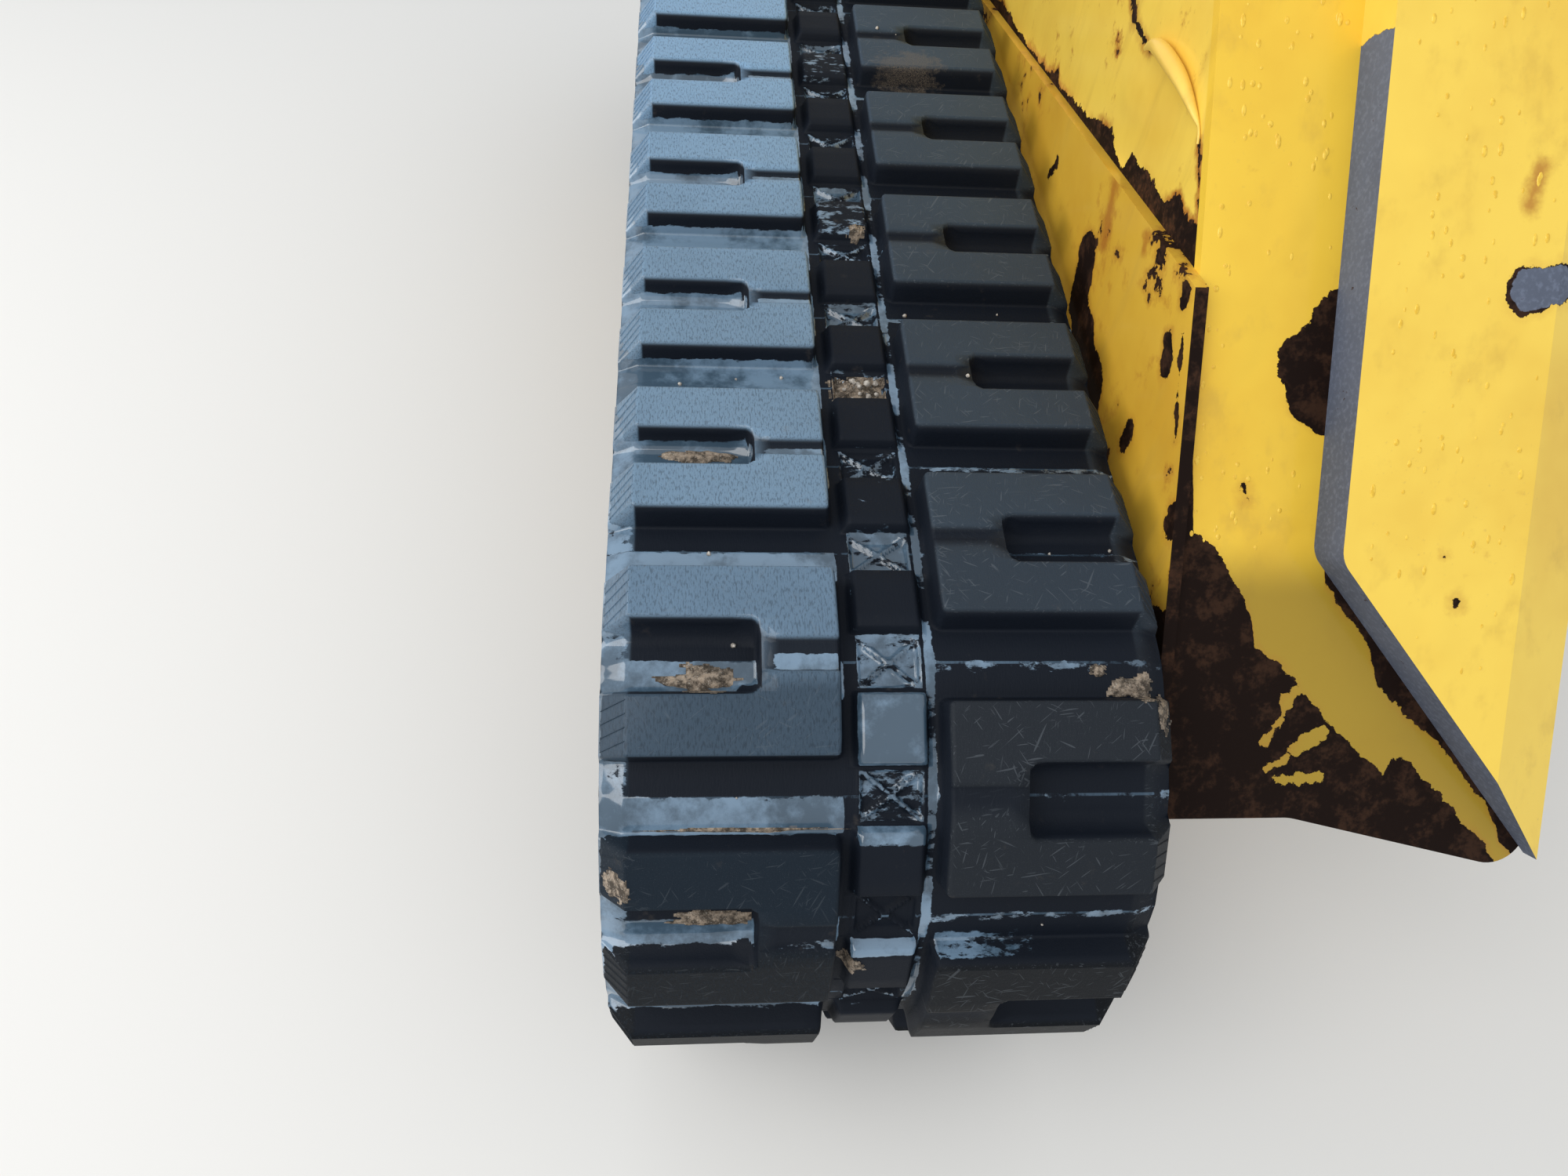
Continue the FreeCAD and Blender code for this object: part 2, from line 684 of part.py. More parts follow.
# Side plates beside the belt, their tubes and the mounting pad
def run_point(ahead, above, radius):
    """Outline point beside the top run: rearward along the run and above its lug tops."""
    reach = IDLER_RADIUS + TREAD + above
    y = IDLER_Y + ahead * math.cos(SLOPE) - reach * math.sin(SLOPE)
    z = IDLER_Z + ahead * math.sin(SLOPE) + reach * math.cos(SLOPE)
    return y, z, radius


PLATE_LOW = ROLLER_Z + ROLLER_RADIUS - 10
PAD_Y = (ROLLER_Y[0] + ROLLER_Y[-1]) / 2
PAD_Z = IDLER_Z + 106
BOLT_SPAN_Y = 360.0
BOLT_SPAN_Z = 100.0
BOLT_RADIUS = 11.0


# Slanted nose: s runs up and rearward along it from its lower end
WALL_THICK = 10.0
WALL_TOP = 510.0
WALL_LOW = -152.0
WALL_FALL = 0.24
RIB_PLACES = [-60.0, 300.0]
RIB_HEIGHT = 70.0
NOSE_BEND = 56.0
NOSE_FALL = 1.2
NOSE_CREASE = 470.0
NOSE_CANT = 24.0
DIAGONAL_BACK = 1330.0
DIAGONAL_LAP = 30.0
NOSE_LOW = run_point(-15, -50, 0)[:2]
NOSE_TIP = run_point(152, 133, 0)[:2]
NOSE_UP = run_point(233, 188, 0)[:2]
SLANT_RUN = frame_at(NOSE_LOW, (NOSE_UP[0] - NOSE_LOW[0], NOSE_UP[1] - NOSE_LOW[1]))[1]
SLANT_OUT = (-SLANT_RUN[1], SLANT_RUN[0])


def slant_point(s, off):
    y = NOSE_LOW[0] + s * SLANT_RUN[0] + off * SLANT_OUT[0]
    return y, NOSE_LOW[1] + s * SLANT_RUN[1] + off * SLANT_OUT[1]


def slant_of(point):
    return (point[0] - NOSE_LOW[0]) * SLANT_RUN[0] + (point[1] - NOSE_LOW[1]) * SLANT_RUN[1]


def pad_bolts(u0, u1):
    bolts = []
    for side_y in (-1, 1):
        for side_z in (-1, 1):
            y = PAD_Y + side_y * BOLT_SPAN_Y / 2
            z = PAD_Z + side_z * BOLT_SPAN_Z / 2
            bolts.append(rod(BOLT_RADIUS, u0, u1, y, z))
    return bolts


def side_plate_lower():
    """Plate beside the belt, from its slanted nose back to the final drive."""
    around = HUB_RADIUS + 20
    outline = [
        (FRAME_FRONT + 10, PLATE_LOW, 30),
        (*slant_point(WALL_LOW, -60), 20),
        (*slant_point(WALL_LOW, 0), 0),
        (*NOSE_TIP, 0),
        run_point(DIAGONAL_BACK, -155, 60),
        (SPROCKET_Y + around, SPROCKET_Z + 106, 110),
        (SPROCKET_Y + around, SPROCKET_Z - around, 120),
        (SPROCKET_Y - around, SPROCKET_Z - around, 60),
        (SPROCKET_Y - around - 60, PLATE_LOW, 60),
    ]
    plate = sheet(outline, PLATE_U, PLATE_BACK)
    cuts = pad_bolts(PLATE_U - 1, PLATE_BACK + 1)
    cuts.append(rod(44, PLATE_U - 1, PLATE_BACK + 1, SPROCKET_Y, SPROCKET_Z))
    return plate.cut(cuts)


def side_plate_upper():
    """Plate lapped behind the lower one along its slanting top edge."""
    lap = DIAGONAL_LAP
    outline = [
        (*slant_point(slant_of(NOSE_TIP) - lap, -WALL_THICK), 0),
        (*slant_point(WALL_TOP - 20, -WALL_THICK), 50),
        run_point(480, 326, 90),
        run_point(1130, 190, 60),
        run_point(1240, 60, 60),
        run_point(1200, -123 - lap, 20),
    ]
    return sheet(outline, PLATE_BACK, PLATE_BACK + DOUBLER)


def slanted(points, low, high):
    """Slab on the slanted nose from (u, s, corner radius) points, between two heights off it."""
    wire = outline_wire(points, lambda u, s: vec(u, *slant_point(s, low)))
    rise = FreeCAD.Vector(0, SLANT_OUT[0], SLANT_OUT[1]) * (high - low)
    return Part.Face(wire).extrude(rise)


def front_wall():
    """Sheet that closes the nose inboard of the side plates, with two ribs behind it."""
    inner = NOSE_U + NOSE_WIDTH
    outline = [
        (PLATE_BACK, WALL_LOW, 0),
        (PLATE_BACK, WALL_TOP, 0),
        (inner, WALL_TOP, 0),
        (inner, WALL_LOW - WALL_FALL * NOSE_WIDTH, 30),
        (NOSE_U, WALL_LOW, 40),
    ]
    ribs = []
    for s in RIB_PLACES:
        edge = [
            (PLATE_BACK + DOUBLER, s, 0),
            (PLATE_BACK + DOUBLER, s + WALL_THICK, 0),
            (inner - 40, s + WALL_THICK, 0),
            (inner - 40, s, 0),
        ]
        ribs.append(slanted(edge, -WALL_THICK - RIB_HEIGHT, -WALL_THICK))
    return slanted(outline, -WALL_THICK, 0).fuse(ribs)


def nose_plate():
    """Thick plate on the front wall, cut off at a slant below and creased along its inboard part."""
    inner = NOSE_U + NOSE_WIDTH
    outline = [
        (NOSE_U, NOSE_BEND, 24),
        (NOSE_U, WALL_TOP, 0),
        (inner, WALL_TOP, 0),
        (inner, NOSE_BEND - NOSE_FALL * NOSE_WIDTH, 0),
    ]
    creased = [(NOSE_CREASE, NOSE_THICK), (inner + 1, NOSE_THICK - NOSE_CANT), (inner + 1, NOSE_THICK + 1),
               (NOSE_CREASE, NOSE_THICK + 1)]
    corners = [vec(u, *slant_point(-WALL_TOP, off)) for u, off in creased]
    run = FreeCAD.Vector(0, SLANT_RUN[0], SLANT_RUN[1]) * (2 * WALL_TOP + 10)
    cutter = Part.Face(Part.makePolygon(corners + corners[:1])).extrude(run)
    return slanted(outline, 0, NOSE_THICK).cut(cutter)


def mounting_pad():
    half_y = BOLT_SPAN_Y / 2 + 34
    half_z = BOLT_SPAN_Z / 2 + 30
    outline = [
        (PAD_Y - half_y, PAD_Z - half_z, 16),
        (PAD_Y - half_y, PAD_Z + half_z, 16),
        (PAD_Y + half_y, PAD_Z + half_z, 16),
        (PAD_Y + half_y, PAD_Z - half_z, 16),
    ]
    pad = sheet(outline, PLATE_BACK, PLATE_BACK + PAD_THICK)
    return pad.cut(pad_bolts(PLATE_BACK - 1, PLATE_BACK + PAD_THICK + 1))


TUBE_HALF = 38.0
TUBE_WALL = 8.0
TUBE_Z = SHOULDER_Z - TUBE_HALF - 4
TUBE_Y = [ROLLER_Y[0] + ROLLER_STEP / 2, ROLLER_Y[-1] - ROLLER_STEP / 2]


def square(y, z, half, radius):
    return [
        (y - half, z - half, radius),
        (y - half, z + half, radius),
        (y + half, z + half, radius),
        (y + half, z - half, radius),
    ]


def cross_tube(y):
    """Square tube from the frame's wall to the side plate, with a flange at the plate."""
    tube = sheet(square(y, TUBE_Z, TUBE_HALF, 12), FRAME_OUT, PLATE_U)
    flange = [
        (y - 66, TUBE_Z - TUBE_HALF, 12),
        (y - 66, TUBE_Z + TUBE_HALF + 22, 12),
        (y + 66, TUBE_Z + TUBE_HALF + 22, 12),
        (y + 66, TUBE_Z - TUBE_HALF, 12),
    ]
    whole = tube.fuse([sheet(flange, PLATE_U - 10, PLATE_U)])
    return whole.cut(sheet(square(y, TUBE_Z, TUBE_HALF - TUBE_WALL, 4), FRAME_OUT - 1, PLATE_U + 1))


# Lid over the grease fitting, on the frame's outer wall
LID_THICK = 3.5
LID_LAP = 7.0
LID_STAND = 6.0
LID_U = -FRAME_OUT - LID_STAND - 0.5
LID_PIN = 6.0
LID_Y = HATCH_Y - HATCH_HALF - LID_LAP - 14


def access_lid():
    half = HATCH_HALF + LID_LAP
    points = [
        (LID_Y - 12, HATCH_Z - 12, 11),
        (LID_Y - 12, HATCH_Z + 12, 11),
        (LID_Y + 18, HATCH_Z + half, 8),
        (HATCH_Y + half, HATCH_Z + half, 10),
        (HATCH_Y + half, HATCH_Z - half, 10),
        (LID_Y + 18, HATCH_Z - half, 8),
    ]
    plate = sheet(points, LID_U - LID_THICK, LID_U)
    return plate.cut(rod(LID_PIN + PIN_GAP, LID_U - LID_THICK - 1, LID_U + 1, LID_Y, HATCH_Z))


def lid_bolt():
    outer = LID_U - LID_THICK - 0.5
    stem = rod(LID_PIN, outer, -FRAME_OUT, LID_Y, HATCH_Z)
    collar = rod(LID_PIN + 5, -FRAME_OUT - LID_STAND, -FRAME_OUT, LID_Y, HATCH_Z)
    head = rod(LID_PIN + 4, outer - 7, outer, LID_Y, HATCH_Z)
    return stem.fuse([collar, head])


def save(name, shape):
    clean = shape.removeSplitter()
    if len(clean.Solids) == 1:
        clean = clean.Solids[0]
    clean.exportStep("parts/" + name + ".step")


os.makedirs("parts", exist_ok=True)
save("rubber_belt", rubber_belt())
save("front_idler", front_idler())
save("idler_axle", idler_axle())
save("idler_yoke", idler_yoke())
save("tension_rod", tension_rod())
save("tension_cylinder", tension_cylinder())
for number, y in enumerate(ROLLER_Y, 1):
    save("track_roller_%d" % number, track_roller(y))
    save("roller_shaft_%d" % number, roller_shaft(y))
save("track_frame", track_frame())
save("carrier_roller", carrier_roller())
save("carrier_shaft", carrier_shaft())
save("carrier_bracket", carrier_bracket())
save("drive_sprocket", drive_sprocket())
save("drive_hub", drive_hub())
save("hub_cover", hub_cover())
save("drive_motor", drive_motor())
save("side_plate_lower", side_plate_lower())
save("side_plate_upper", side_plate_upper())
save("front_wall", front_wall())
save("nose_plate", nose_plate())
save("mounting_pad", mounting_pad())
save("front_cross_tube", cross_tube(TUBE_Y[0]))
save("rear_cross_tube", cross_tube(TUBE_Y[1]))
save("lid_bolt", lid_bolt())
save("access_lid", access_lid())
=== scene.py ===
import math

import bmesh
import bpy
import numpy as np
from mathutils import Matrix, Vector


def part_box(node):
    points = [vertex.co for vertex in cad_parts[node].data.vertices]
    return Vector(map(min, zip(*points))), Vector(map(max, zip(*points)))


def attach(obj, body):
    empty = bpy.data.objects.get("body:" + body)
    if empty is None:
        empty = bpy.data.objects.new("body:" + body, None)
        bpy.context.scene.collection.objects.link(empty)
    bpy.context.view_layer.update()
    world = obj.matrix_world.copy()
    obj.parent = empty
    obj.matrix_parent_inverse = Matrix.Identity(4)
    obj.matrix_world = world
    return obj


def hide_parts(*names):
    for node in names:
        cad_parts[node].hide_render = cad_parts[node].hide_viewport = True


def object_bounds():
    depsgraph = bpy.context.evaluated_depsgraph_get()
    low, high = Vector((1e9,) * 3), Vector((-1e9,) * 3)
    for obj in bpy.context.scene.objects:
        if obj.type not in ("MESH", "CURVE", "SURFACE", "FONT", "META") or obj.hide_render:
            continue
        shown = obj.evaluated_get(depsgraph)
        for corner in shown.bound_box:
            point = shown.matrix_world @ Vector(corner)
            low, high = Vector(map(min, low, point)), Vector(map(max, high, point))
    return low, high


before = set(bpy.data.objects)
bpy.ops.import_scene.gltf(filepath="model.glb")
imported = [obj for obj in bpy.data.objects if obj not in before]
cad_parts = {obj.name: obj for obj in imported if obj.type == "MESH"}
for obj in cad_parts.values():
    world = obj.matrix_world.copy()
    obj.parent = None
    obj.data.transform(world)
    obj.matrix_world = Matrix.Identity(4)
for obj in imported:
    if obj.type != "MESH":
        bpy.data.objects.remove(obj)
CAD_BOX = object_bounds()

# Sizes in metres, in the frame's axes: X inboard, Y rearward, Z up
# In the belt's own axes u runs inboard from its middle plane, s along it and depth outward

# Belt
MM = 0.001
HALF_WIDTH = 200 * MM
LINKS = 50
PITCH = 86 * MM
HALF_PITCH = PITCH / 2
CARCASS = 26 * MM
LUG = 24 * MM
TREAD = CARCASS + LUG
CORD = 12 * MM
CENTRE_HALF = 31 * MM
COLUMN_IN = 37 * MM
COLUMN_OUT = HALF_WIDTH - 19 * MM
POCKET_IN = COLUMN_IN + 0.37 * (COLUMN_OUT - COLUMN_IN)
GROOVE = 0.21 * PITCH
POCKET = 0.272 * PITCH
FIRST_CORE = 0.14 * PITCH
HORN_IN = 26 * MM
HORN_OUT = 44 * MM
HORN_HEIGHT = 42 * MM
HORN_TOP = 0.13 * PITCH
HORN_BASE = 0.24 * PITCH
WINDOW_HALF = 22 * MM
WINDOW_REACH = 0.22 * PITCH
WINDOW_DEPTH = 13 * MM

# Wheels: places come from the frame's own pieces, radii are those of the belt's inner face
TEETH = 15
IDLER_RADIUS = 202 * MM
ROLLER_RADIUS = 85 * MM
SPROCKET_RADIUS = PITCH * TEETH / (2 * math.pi) - CORD
ROLLERS = 5


def middle(node):
    low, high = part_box(node)
    return (low + high) / 2


BELT_X = middle("rubber_belt").x
IDLER = middle("front_idler")
FIRST_ROLLER = middle("track_roller_1")
LAST_ROLLER = middle("track_roller_%d" % ROLLERS)
SPROCKET = middle("hub_cover")
WHEELS = [
    (IDLER.y, IDLER.z, IDLER_RADIUS),
    (FIRST_ROLLER.y, FIRST_ROLLER.z, ROLLER_RADIUS),
    (LAST_ROLLER.y, LAST_ROLLER.z, ROLLER_RADIUS),
    (SPROCKET.y, SPROCKET.z, SPROCKET_RADIUS),
]


# The belt's cord line round the wheels, and the corners between its links
def polar(wheel, radius, angle):
    return wheel[0] + radius * math.cos(angle), wheel[1] + radius * math.sin(angle)


def tangent(one, two, lift):
    heading = math.atan2(two[1] - one[1], two[0] - one[0])
    span = math.hypot(two[0] - one[0], two[1] - one[1])
    normal = heading - math.acos((one[2] - two[2]) / span)
    return polar(one, one[2] + lift, normal), polar(two, two[2] + lift, normal), normal


def loop_pieces():
    """Arc then straight for each wheel, from where the top run meets the front idler."""
    runs = [tangent(one, two, CORD) for one, two in zip(WHEELS, WHEELS[1:] + WHEELS[:1])]
    pieces = []
    for i, wheel in enumerate(WHEELS):
        enter = runs[i - 1][2]
        sweep = (runs[i][2] - enter) % (2 * math.pi)
        pieces.append(("arc", (wheel[2] + CORD) * sweep, wheel, enter))
        pieces.append(("run", math.dist(runs[i][0], runs[i][1]), runs[i], runs[i][2]))
    return pieces


PIECES = loop_pieces()
LOOP = sum(piece[1] for piece in PIECES)


def along(distance):
    """Place and outward angle of the cord line at a length along it."""
    rest = distance % LOOP
    for kind, length, data, angle in PIECES:
        if rest <= length:
            break
        rest -= length
    if kind == "arc":
        angle += rest / (data[2] + CORD)
        return *polar(data, data[2] + CORD, angle), angle
    (start_y, start_z), (end_y, end_z), _ = data
    part = rest / length
    return start_y + part * (end_y - start_y), start_z + part * (end_z - start_z), angle


def knuckle(index):
    """Corner between two links, pushed out until both links' flats clear the wheels."""
    at = FIRST_CORE + (index + 0.5) * PITCH
    y, z, angle = along(at)
    out = (math.cos(angle), math.sin(angle))
    push = 0.0
    for core in (at - HALF_PITCH, at + HALF_PITCH):
        core_y, core_z, core_angle = along(core)
        normal = (math.cos(core_angle), math.sin(core_angle))
        behind = normal[0] * (core_y - y) + normal[1] * (core_z - z)
        push = max(push, behind / (normal[0] * out[0] + normal[1] * out[1]))
    return y + push * out[0], z + push * out[1]


KNUCKLES = np.array([knuckle(i) for i in range(LINKS)])
BEND_HALF = 17 * MM


def unit(vectors):
    return vectors / np.linalg.norm(vectors, axis=-1, keepdims=True)


def belt_line(s):
    """Points and outward normals of the cord line at lengths s, bent softly at each knuckle."""
    index = np.floor(s / PITCH + 0.5).astype(int)
    local = s - index * PITCH
    side = np.where(local > 0, 1, -1)
    before = KNUCKLES[(index - 1) % LINKS]
    after = KNUCKLES[index % LINKS]
    run = unit(after - before)
    next_run = unit(KNUCKLES[(index + side) % LINKS] - KNUCKLES[(index + side - 1) % LINKS])
    near = np.clip((np.abs(local) - (HALF_PITCH - BEND_HALF)) / BEND_HALF, 0, 1)[..., None]
    point = (before + after) / 2 + (after - before) * (local / PITCH)[..., None]
    point = point + (next_run - run) * side[..., None] * near ** 2 * BEND_HALF / 4
    blended = unit(run * (1 - near / 2) + next_run * near / 2)
    return point, np.stack([blended[..., 1], -blended[..., 0]], -1)


def on_belt(u, s, depth):
    """World coordinates of belt points given as arrays of u, s and depth."""
    point, normal = belt_line(s)
    y, z = np.moveaxis(point + normal * (depth - CORD)[..., None], -1, 0)
    return np.stack([BELT_X + u, y, z], -1)


# Tread relief
WALL = 3.2 * MM
LUG_ROUND = 4 * MM
POCKET_ROUND = 10 * MM
WEB_GROOVE_HALF = 8 * MM
WEB_GROOVE_DEPTH = 4.5 * MM
SHOULDER_DROP = 7 * MM
MOULD_LINE = 0.7 * MM
PAD_TOP = 21 * MM
PAD_BASE = 28 * MM
PAD_HALF = 25 * MM
PAD_HEIGHT = 11 * MM
CELL_HALF = 21 * MM
CELL_LONG = 15 * MM
CELL_DEPTH = 4.5 * MM
CELL_RIM = 1.2 * MM


def smooth(low, high, value):
    t = np.clip((value - low) / (high - low), 0, 1)
    return t * t * (3 - 2 * t)


def within(value, low, high):
    return (value > low) & (value < high)


def box_distance(a, b, a0, a1, b0, b1, radius):
    """Signed distance to a rectangle with rounded corners, negative inside."""
    dx = np.abs(a - (a0 + a1) / 2) - (a1 - a0) / 2 + radius
    dy = np.abs(b - (b0 + b1) / 2) - (b1 - b0) / 2 + radius
    outside = np.hypot(np.maximum(dx, 0), np.maximum(dy, 0))
    return outside + np.minimum(np.maximum(dx, dy), 0) - radius


def from_core(s):
    """Length along the belt from the nearest core."""
    return (s + HALF_PITCH) % PITCH - HALF_PITCH


def column_relief(a, sigma):
    """Height of one column of lugs over the carcass; its pocket is centred at half a pitch."""
    far = HALF_WIDTH * 2
    lug = box_distance(a, sigma, COLUMN_IN, far, -GROOVE, PITCH + GROOVE, LUG_ROUND)
    pocket = box_distance(a, sigma, POCKET_IN, far, POCKET, PITCH - POCKET, POCKET_ROUND)
    raised = 1 - smooth(-0.8 * MM, WALL, np.maximum(lug, -pocket))
    ends = np.clip((HALF_WIDTH - a) / (HALF_WIDTH - COLUMN_OUT), 0, 1)
    web = box_distance(a, sigma, 0, POCKET_IN - 3 * MM, HALF_PITCH - WEB_GROOVE_HALF,
                       HALF_PITCH + WEB_GROOVE_HALF, 1 * MM)
    dip = WEB_GROOVE_DEPTH * (1 - smooth(-1 * MM, 1.5 * MM, web))
    shoulder = SHOULDER_DROP * smooth(COLUMN_OUT, HALF_WIDTH, a) ** 2
    return raised * (LUG * ends - dip) - shoulder * (1 - raised)


def centre_relief(a, s):
    """Pads over the cores and crossed cells over the gaps, along the middle of the belt."""
    local = np.abs(from_core(s))
    gap = HALF_PITCH - local
    pad = 1 - smooth(PAD_TOP, PAD_BASE, a)
    pad = pad * (1 - smooth(PAD_HALF - 2.5 * MM, PAD_HALF + 1.5 * MM, local))
    cell = 1 - smooth(CELL_HALF - 1 * MM, CELL_HALF + 1 * MM, a)
    cell = cell * (1 - smooth(CELL_LONG - 1 * MM, CELL_LONG + 1 * MM, gap))
    rib = 1 - smooth(0.7 * MM, 2.6 * MM, np.abs(a * CELL_LONG / CELL_HALF - gap))
    diamond = 1 - smooth(2.5 * MM, 4.5 * MM, a + gap)
    rim = box_distance(a, gap, -CELL_HALF, CELL_HALF, -CELL_LONG, CELL_LONG, 1 * MM)
    ridge = CELL_RIM * (1 - smooth(0, 1.6 * MM, np.abs(rim - CELL_RIM))) * (1 - pad)
    return pad * PAD_HEIGHT - cell * CELL_DEPTH * (1 - np.maximum(rib, diamond)) + ridge


def outer_depth(u, s):
    """Depth of the belt's outer face at (u, s)."""
    a = np.abs(u)
    sigma = np.where(u < 0, s, s + PITCH)
    sigma = (sigma + HALF_PITCH) % (2 * PITCH) - HALF_PITCH
    column = column_relief(a, sigma)
    line = MOULD_LINE * (1 - smooth(0.3 * MM, 1.4 * MM, HALF_PITCH - np.abs(from_core(s))))
    in_centre = a < COLUMN_IN - WALL
    return CARCASS + np.where(in_centre, centre_relief(a, s), column + line * (column < 1 * MM))


def inner_depth(u, s):
    """Depth of the inner face: guide horns over the cores, tooth windows over the gaps."""
    a = np.abs(u)
    local = np.abs(from_core(s))
    across = 1 - smooth(HORN_OUT - 3 * MM, HORN_OUT, a)
    across = across * smooth(HORN_IN, HORN_IN + 3 * MM, a)
    horn = across * (1 - smooth(HORN_TOP, HORN_BASE, local))
    window = 1 - smooth(WINDOW_HALF - 1.5 * MM, WINDOW_HALF, a)
    window = window * (1 - smooth(WINDOW_REACH, 0.235 * PITCH, HALF_PITCH - local))
    return WINDOW_DEPTH * window - HORN_HEIGHT * horn


# Rain on the belt, with the sky's reflection painted on its water: strength of both, for pads and cells by
# link; links beyond the front are negative
WET_PAD_REFLECTION = {1: 0.97, 0: 0.35, -1: 0.40, -5: 0.52, -8: 0.50, -11: 0.55}
WET_CELL_REFLECTION = {2: 0.30, 3: 0.30, -1: 0.64, 0: 0.62, 1: 0.56, -2: 0.50, -4: 0.60, -6: 0.58, -9: 0.6}
LIP_HIGHLIGHT_LINKS = (2, 3)
FAR_FROM = 0.6 * LINKS * PITCH
FAR_TO = (LINKS - 1) * PITCH
FRONT_PATCH_U = (COLUMN_IN, 116 * MM)
FRONT_PATCH_S = (229 * MM, 245 * MM)
DULL_WEBS = (150 * MM, 1)


def link_values(table, link, other):
    """Number for each link from a table, or the other one."""
    link = (link + LINKS // 2) % LINKS - LINKS // 2
    values = np.full(link.shape, other)
    for key, value in table.items():
        values = np.where(link == key, value, values)
    return values


def column_wet_reflection(u, s, depth, gap):
    """Water on low floors past a gap's middle, in the webs' grooves and on the outer apron, with the sky's
    reflection painted on it.
    """
    a = np.abs(u)
    far = within(s, FAR_FROM, FAR_TO)
    foot = np.where(far & (gap < 0), CARCASS + 7 * MM, CARCASS + 0.5 * MM)
    floor = 1 - smooth(foot, foot + 5 * MM, depth)
    begin = np.where(far, -40 * MM, -7 * MM)
    wide = smooth(begin, begin + 12 * MM, gap) * (1 - smooth(21 * MM, 26 * MM, gap))
    narrow = 0.30 + 0.24 * smooth(-4 * MM, 0, gap) * (1 - smooth(4 * MM, 8 * MM, gap))
    apron = smooth(COLUMN_OUT - 12 * MM, COLUMN_OUT + 6 * MM, a)
    wet_reflection = floor * np.where(u < 0, np.maximum(wide, 0.68 * apron), np.maximum(narrow, 0.4 * apron))
    web = (np.abs(gap) < WEB_GROOVE_HALF) & within(a, COLUMN_IN, POCKET_IN) & (depth > CARCASS + 10 * MM)
    web_wet_reflection = np.where(u < 0, 0.85, 0.5) * np.where(within(s, *DULL_WEBS), 0.6, 1.0)
    wet_reflection = np.maximum(wet_reflection, np.where(web, smooth(-4 * MM, 2 * MM, gap) * web_wet_reflection, 0))
    front = within(u, *FRONT_PATCH_U) & within(s, *FRONT_PATCH_S) & (depth < CARCASS + 21 * MM)
    return np.where(front, 0.66 - 0.20 * smooth(50 * MM, FRONT_PATCH_U[1], u), wet_reflection)


def centre_wet_reflection(u, s, depth, gap):
    """Water with the sky's reflection painted on it on some pads and cells, and painted highlights on some
    pads' lips, along the cells' ribs and in the channel on their inboard side.
    """
    a = np.abs(u)
    pad_link = np.floor(s / PITCH + 0.5).astype(int)
    cell_link = np.floor(s / PITCH).astype(int)
    pad = np.where(depth > CARCASS + 8 * MM, link_values(WET_PAD_REFLECTION, pad_link, 0.25), 0.45)
    # Painted highlight on the lips of some pads
    lip_highlight = within(from_core(s), -27 * MM, -15 * MM) & (a < PAD_TOP + 3 * MM) & np.isin(pad_link, LIP_HIGHLIGHT_LINKS)
    pad = np.where(lip_highlight, 0.95, pad)
    inside = (a < CELL_HALF + 2 * MM) & (np.abs(gap) < CELL_LONG + 2 * MM)
    cell = np.where(inside, link_values(WET_CELL_REFLECTION, cell_link, 0.50), 0.15)
    # Painted highlights along the cells' ribs
    rib = inside & (np.abs(a * CELL_LONG / CELL_HALF - np.abs(gap)) < 1.1 * MM)
    cell = np.where(rib, np.maximum(cell, np.where(cell_link == 2, 0.46, 0.60)), cell)
    # Painted highlight in the channel beside the pads
    channel_highlight = smooth(23 * MM, 26 * MM, u) * (1 - smooth(33 * MM, 35 * MM, u))
    channel_highlight = channel_highlight * (0.60 + 0.12 * np.cos(2 * math.pi * (gap + 4 * MM) / PITCH))
    return np.maximum(np.where(depth > CARCASS + 2.5 * MM, pad, cell), channel_highlight)


def wet_reflection_on_tread(u, s, depth):
    gap = (s + PITCH) % PITCH - HALF_PITCH
    in_centre = np.abs(u) < COLUMN_IN - WALL
    return np.where(in_centre, centre_wet_reflection(u, s, depth, gap), column_wet_reflection(u, s, depth, gap))


# Meshes
def mesh_object(name, points, faces):
    mesh = bpy.data.meshes.new(name)
    mesh.from_pydata([tuple(p) for p in points], [], [tuple(f) for f in faces])
    mesh.polygons.foreach_set("use_smooth", np.ones(len(mesh.polygons), bool))
    mesh.update()
    obj = bpy.data.objects.new(name, mesh)
    bpy.context.scene.collection.objects.link(obj)
    return obj


def belt_mesh(name, flat, faces, wet_reflection):
    """Mesh from rows of u, s and depth; it keeps them, the water and its painted reflection on them and how
    upright they lie.
    """
    u, s, depth = np.moveaxis(flat, -1, 0)
    obj = mesh_object(name, on_belt(u, s, depth), faces)
    marks = obj.data.attributes
    marks.new("belt_at", "FLOAT_VECTOR", "POINT").data.foreach_set("vector", flat.astype(np.float32).ravel())
    for key, values in (("wet_reflection", wet_reflection), ("lie", belt_line(s)[1][..., 1])):
        marks.new(key, "FLOAT", "POINT").data.foreach_set("value", values.astype(np.float32))
    return obj


def lines_near(places, offsets, low, high, step):
    """Sorted grid lines: clusters near the given places and even ones between them."""
    lines = {round(low, 6), round(high, 6)}
    lines |= {round(place + offset, 6) for place in places for offset in offsets}
    lines = sorted(v for v in lines if low - 1e-9 <= v <= high + 1e-9)
    filled = [lines[0]]
    for value in lines[1:]:
        start = filled[-1]
        gap = value - start
        if gap >= 0.5 * MM:
            parts = max(1, math.ceil(gap / step))
            filled.extend(start + gap * (k + 1) / parts for k in range(parts))
    return np.array(filled)


def belt_strip(name, u, s, depth, wet_reflection):
    """Strip of quads from grids of belt points, closed along the belt."""
    rows, columns = u.shape
    i, j = np.meshgrid(np.arange(rows), np.arange(columns - 1), indexing="ij")
    here = i * columns + j
    after = ((i + 1) % rows) * columns + j
    faces = np.stack([here, after, after + 1, here + 1], -1).reshape(-1, 4)
    return belt_mesh(name, np.stack([u, s, depth], -1).reshape(-1, 3), faces, wet_reflection.ravel())


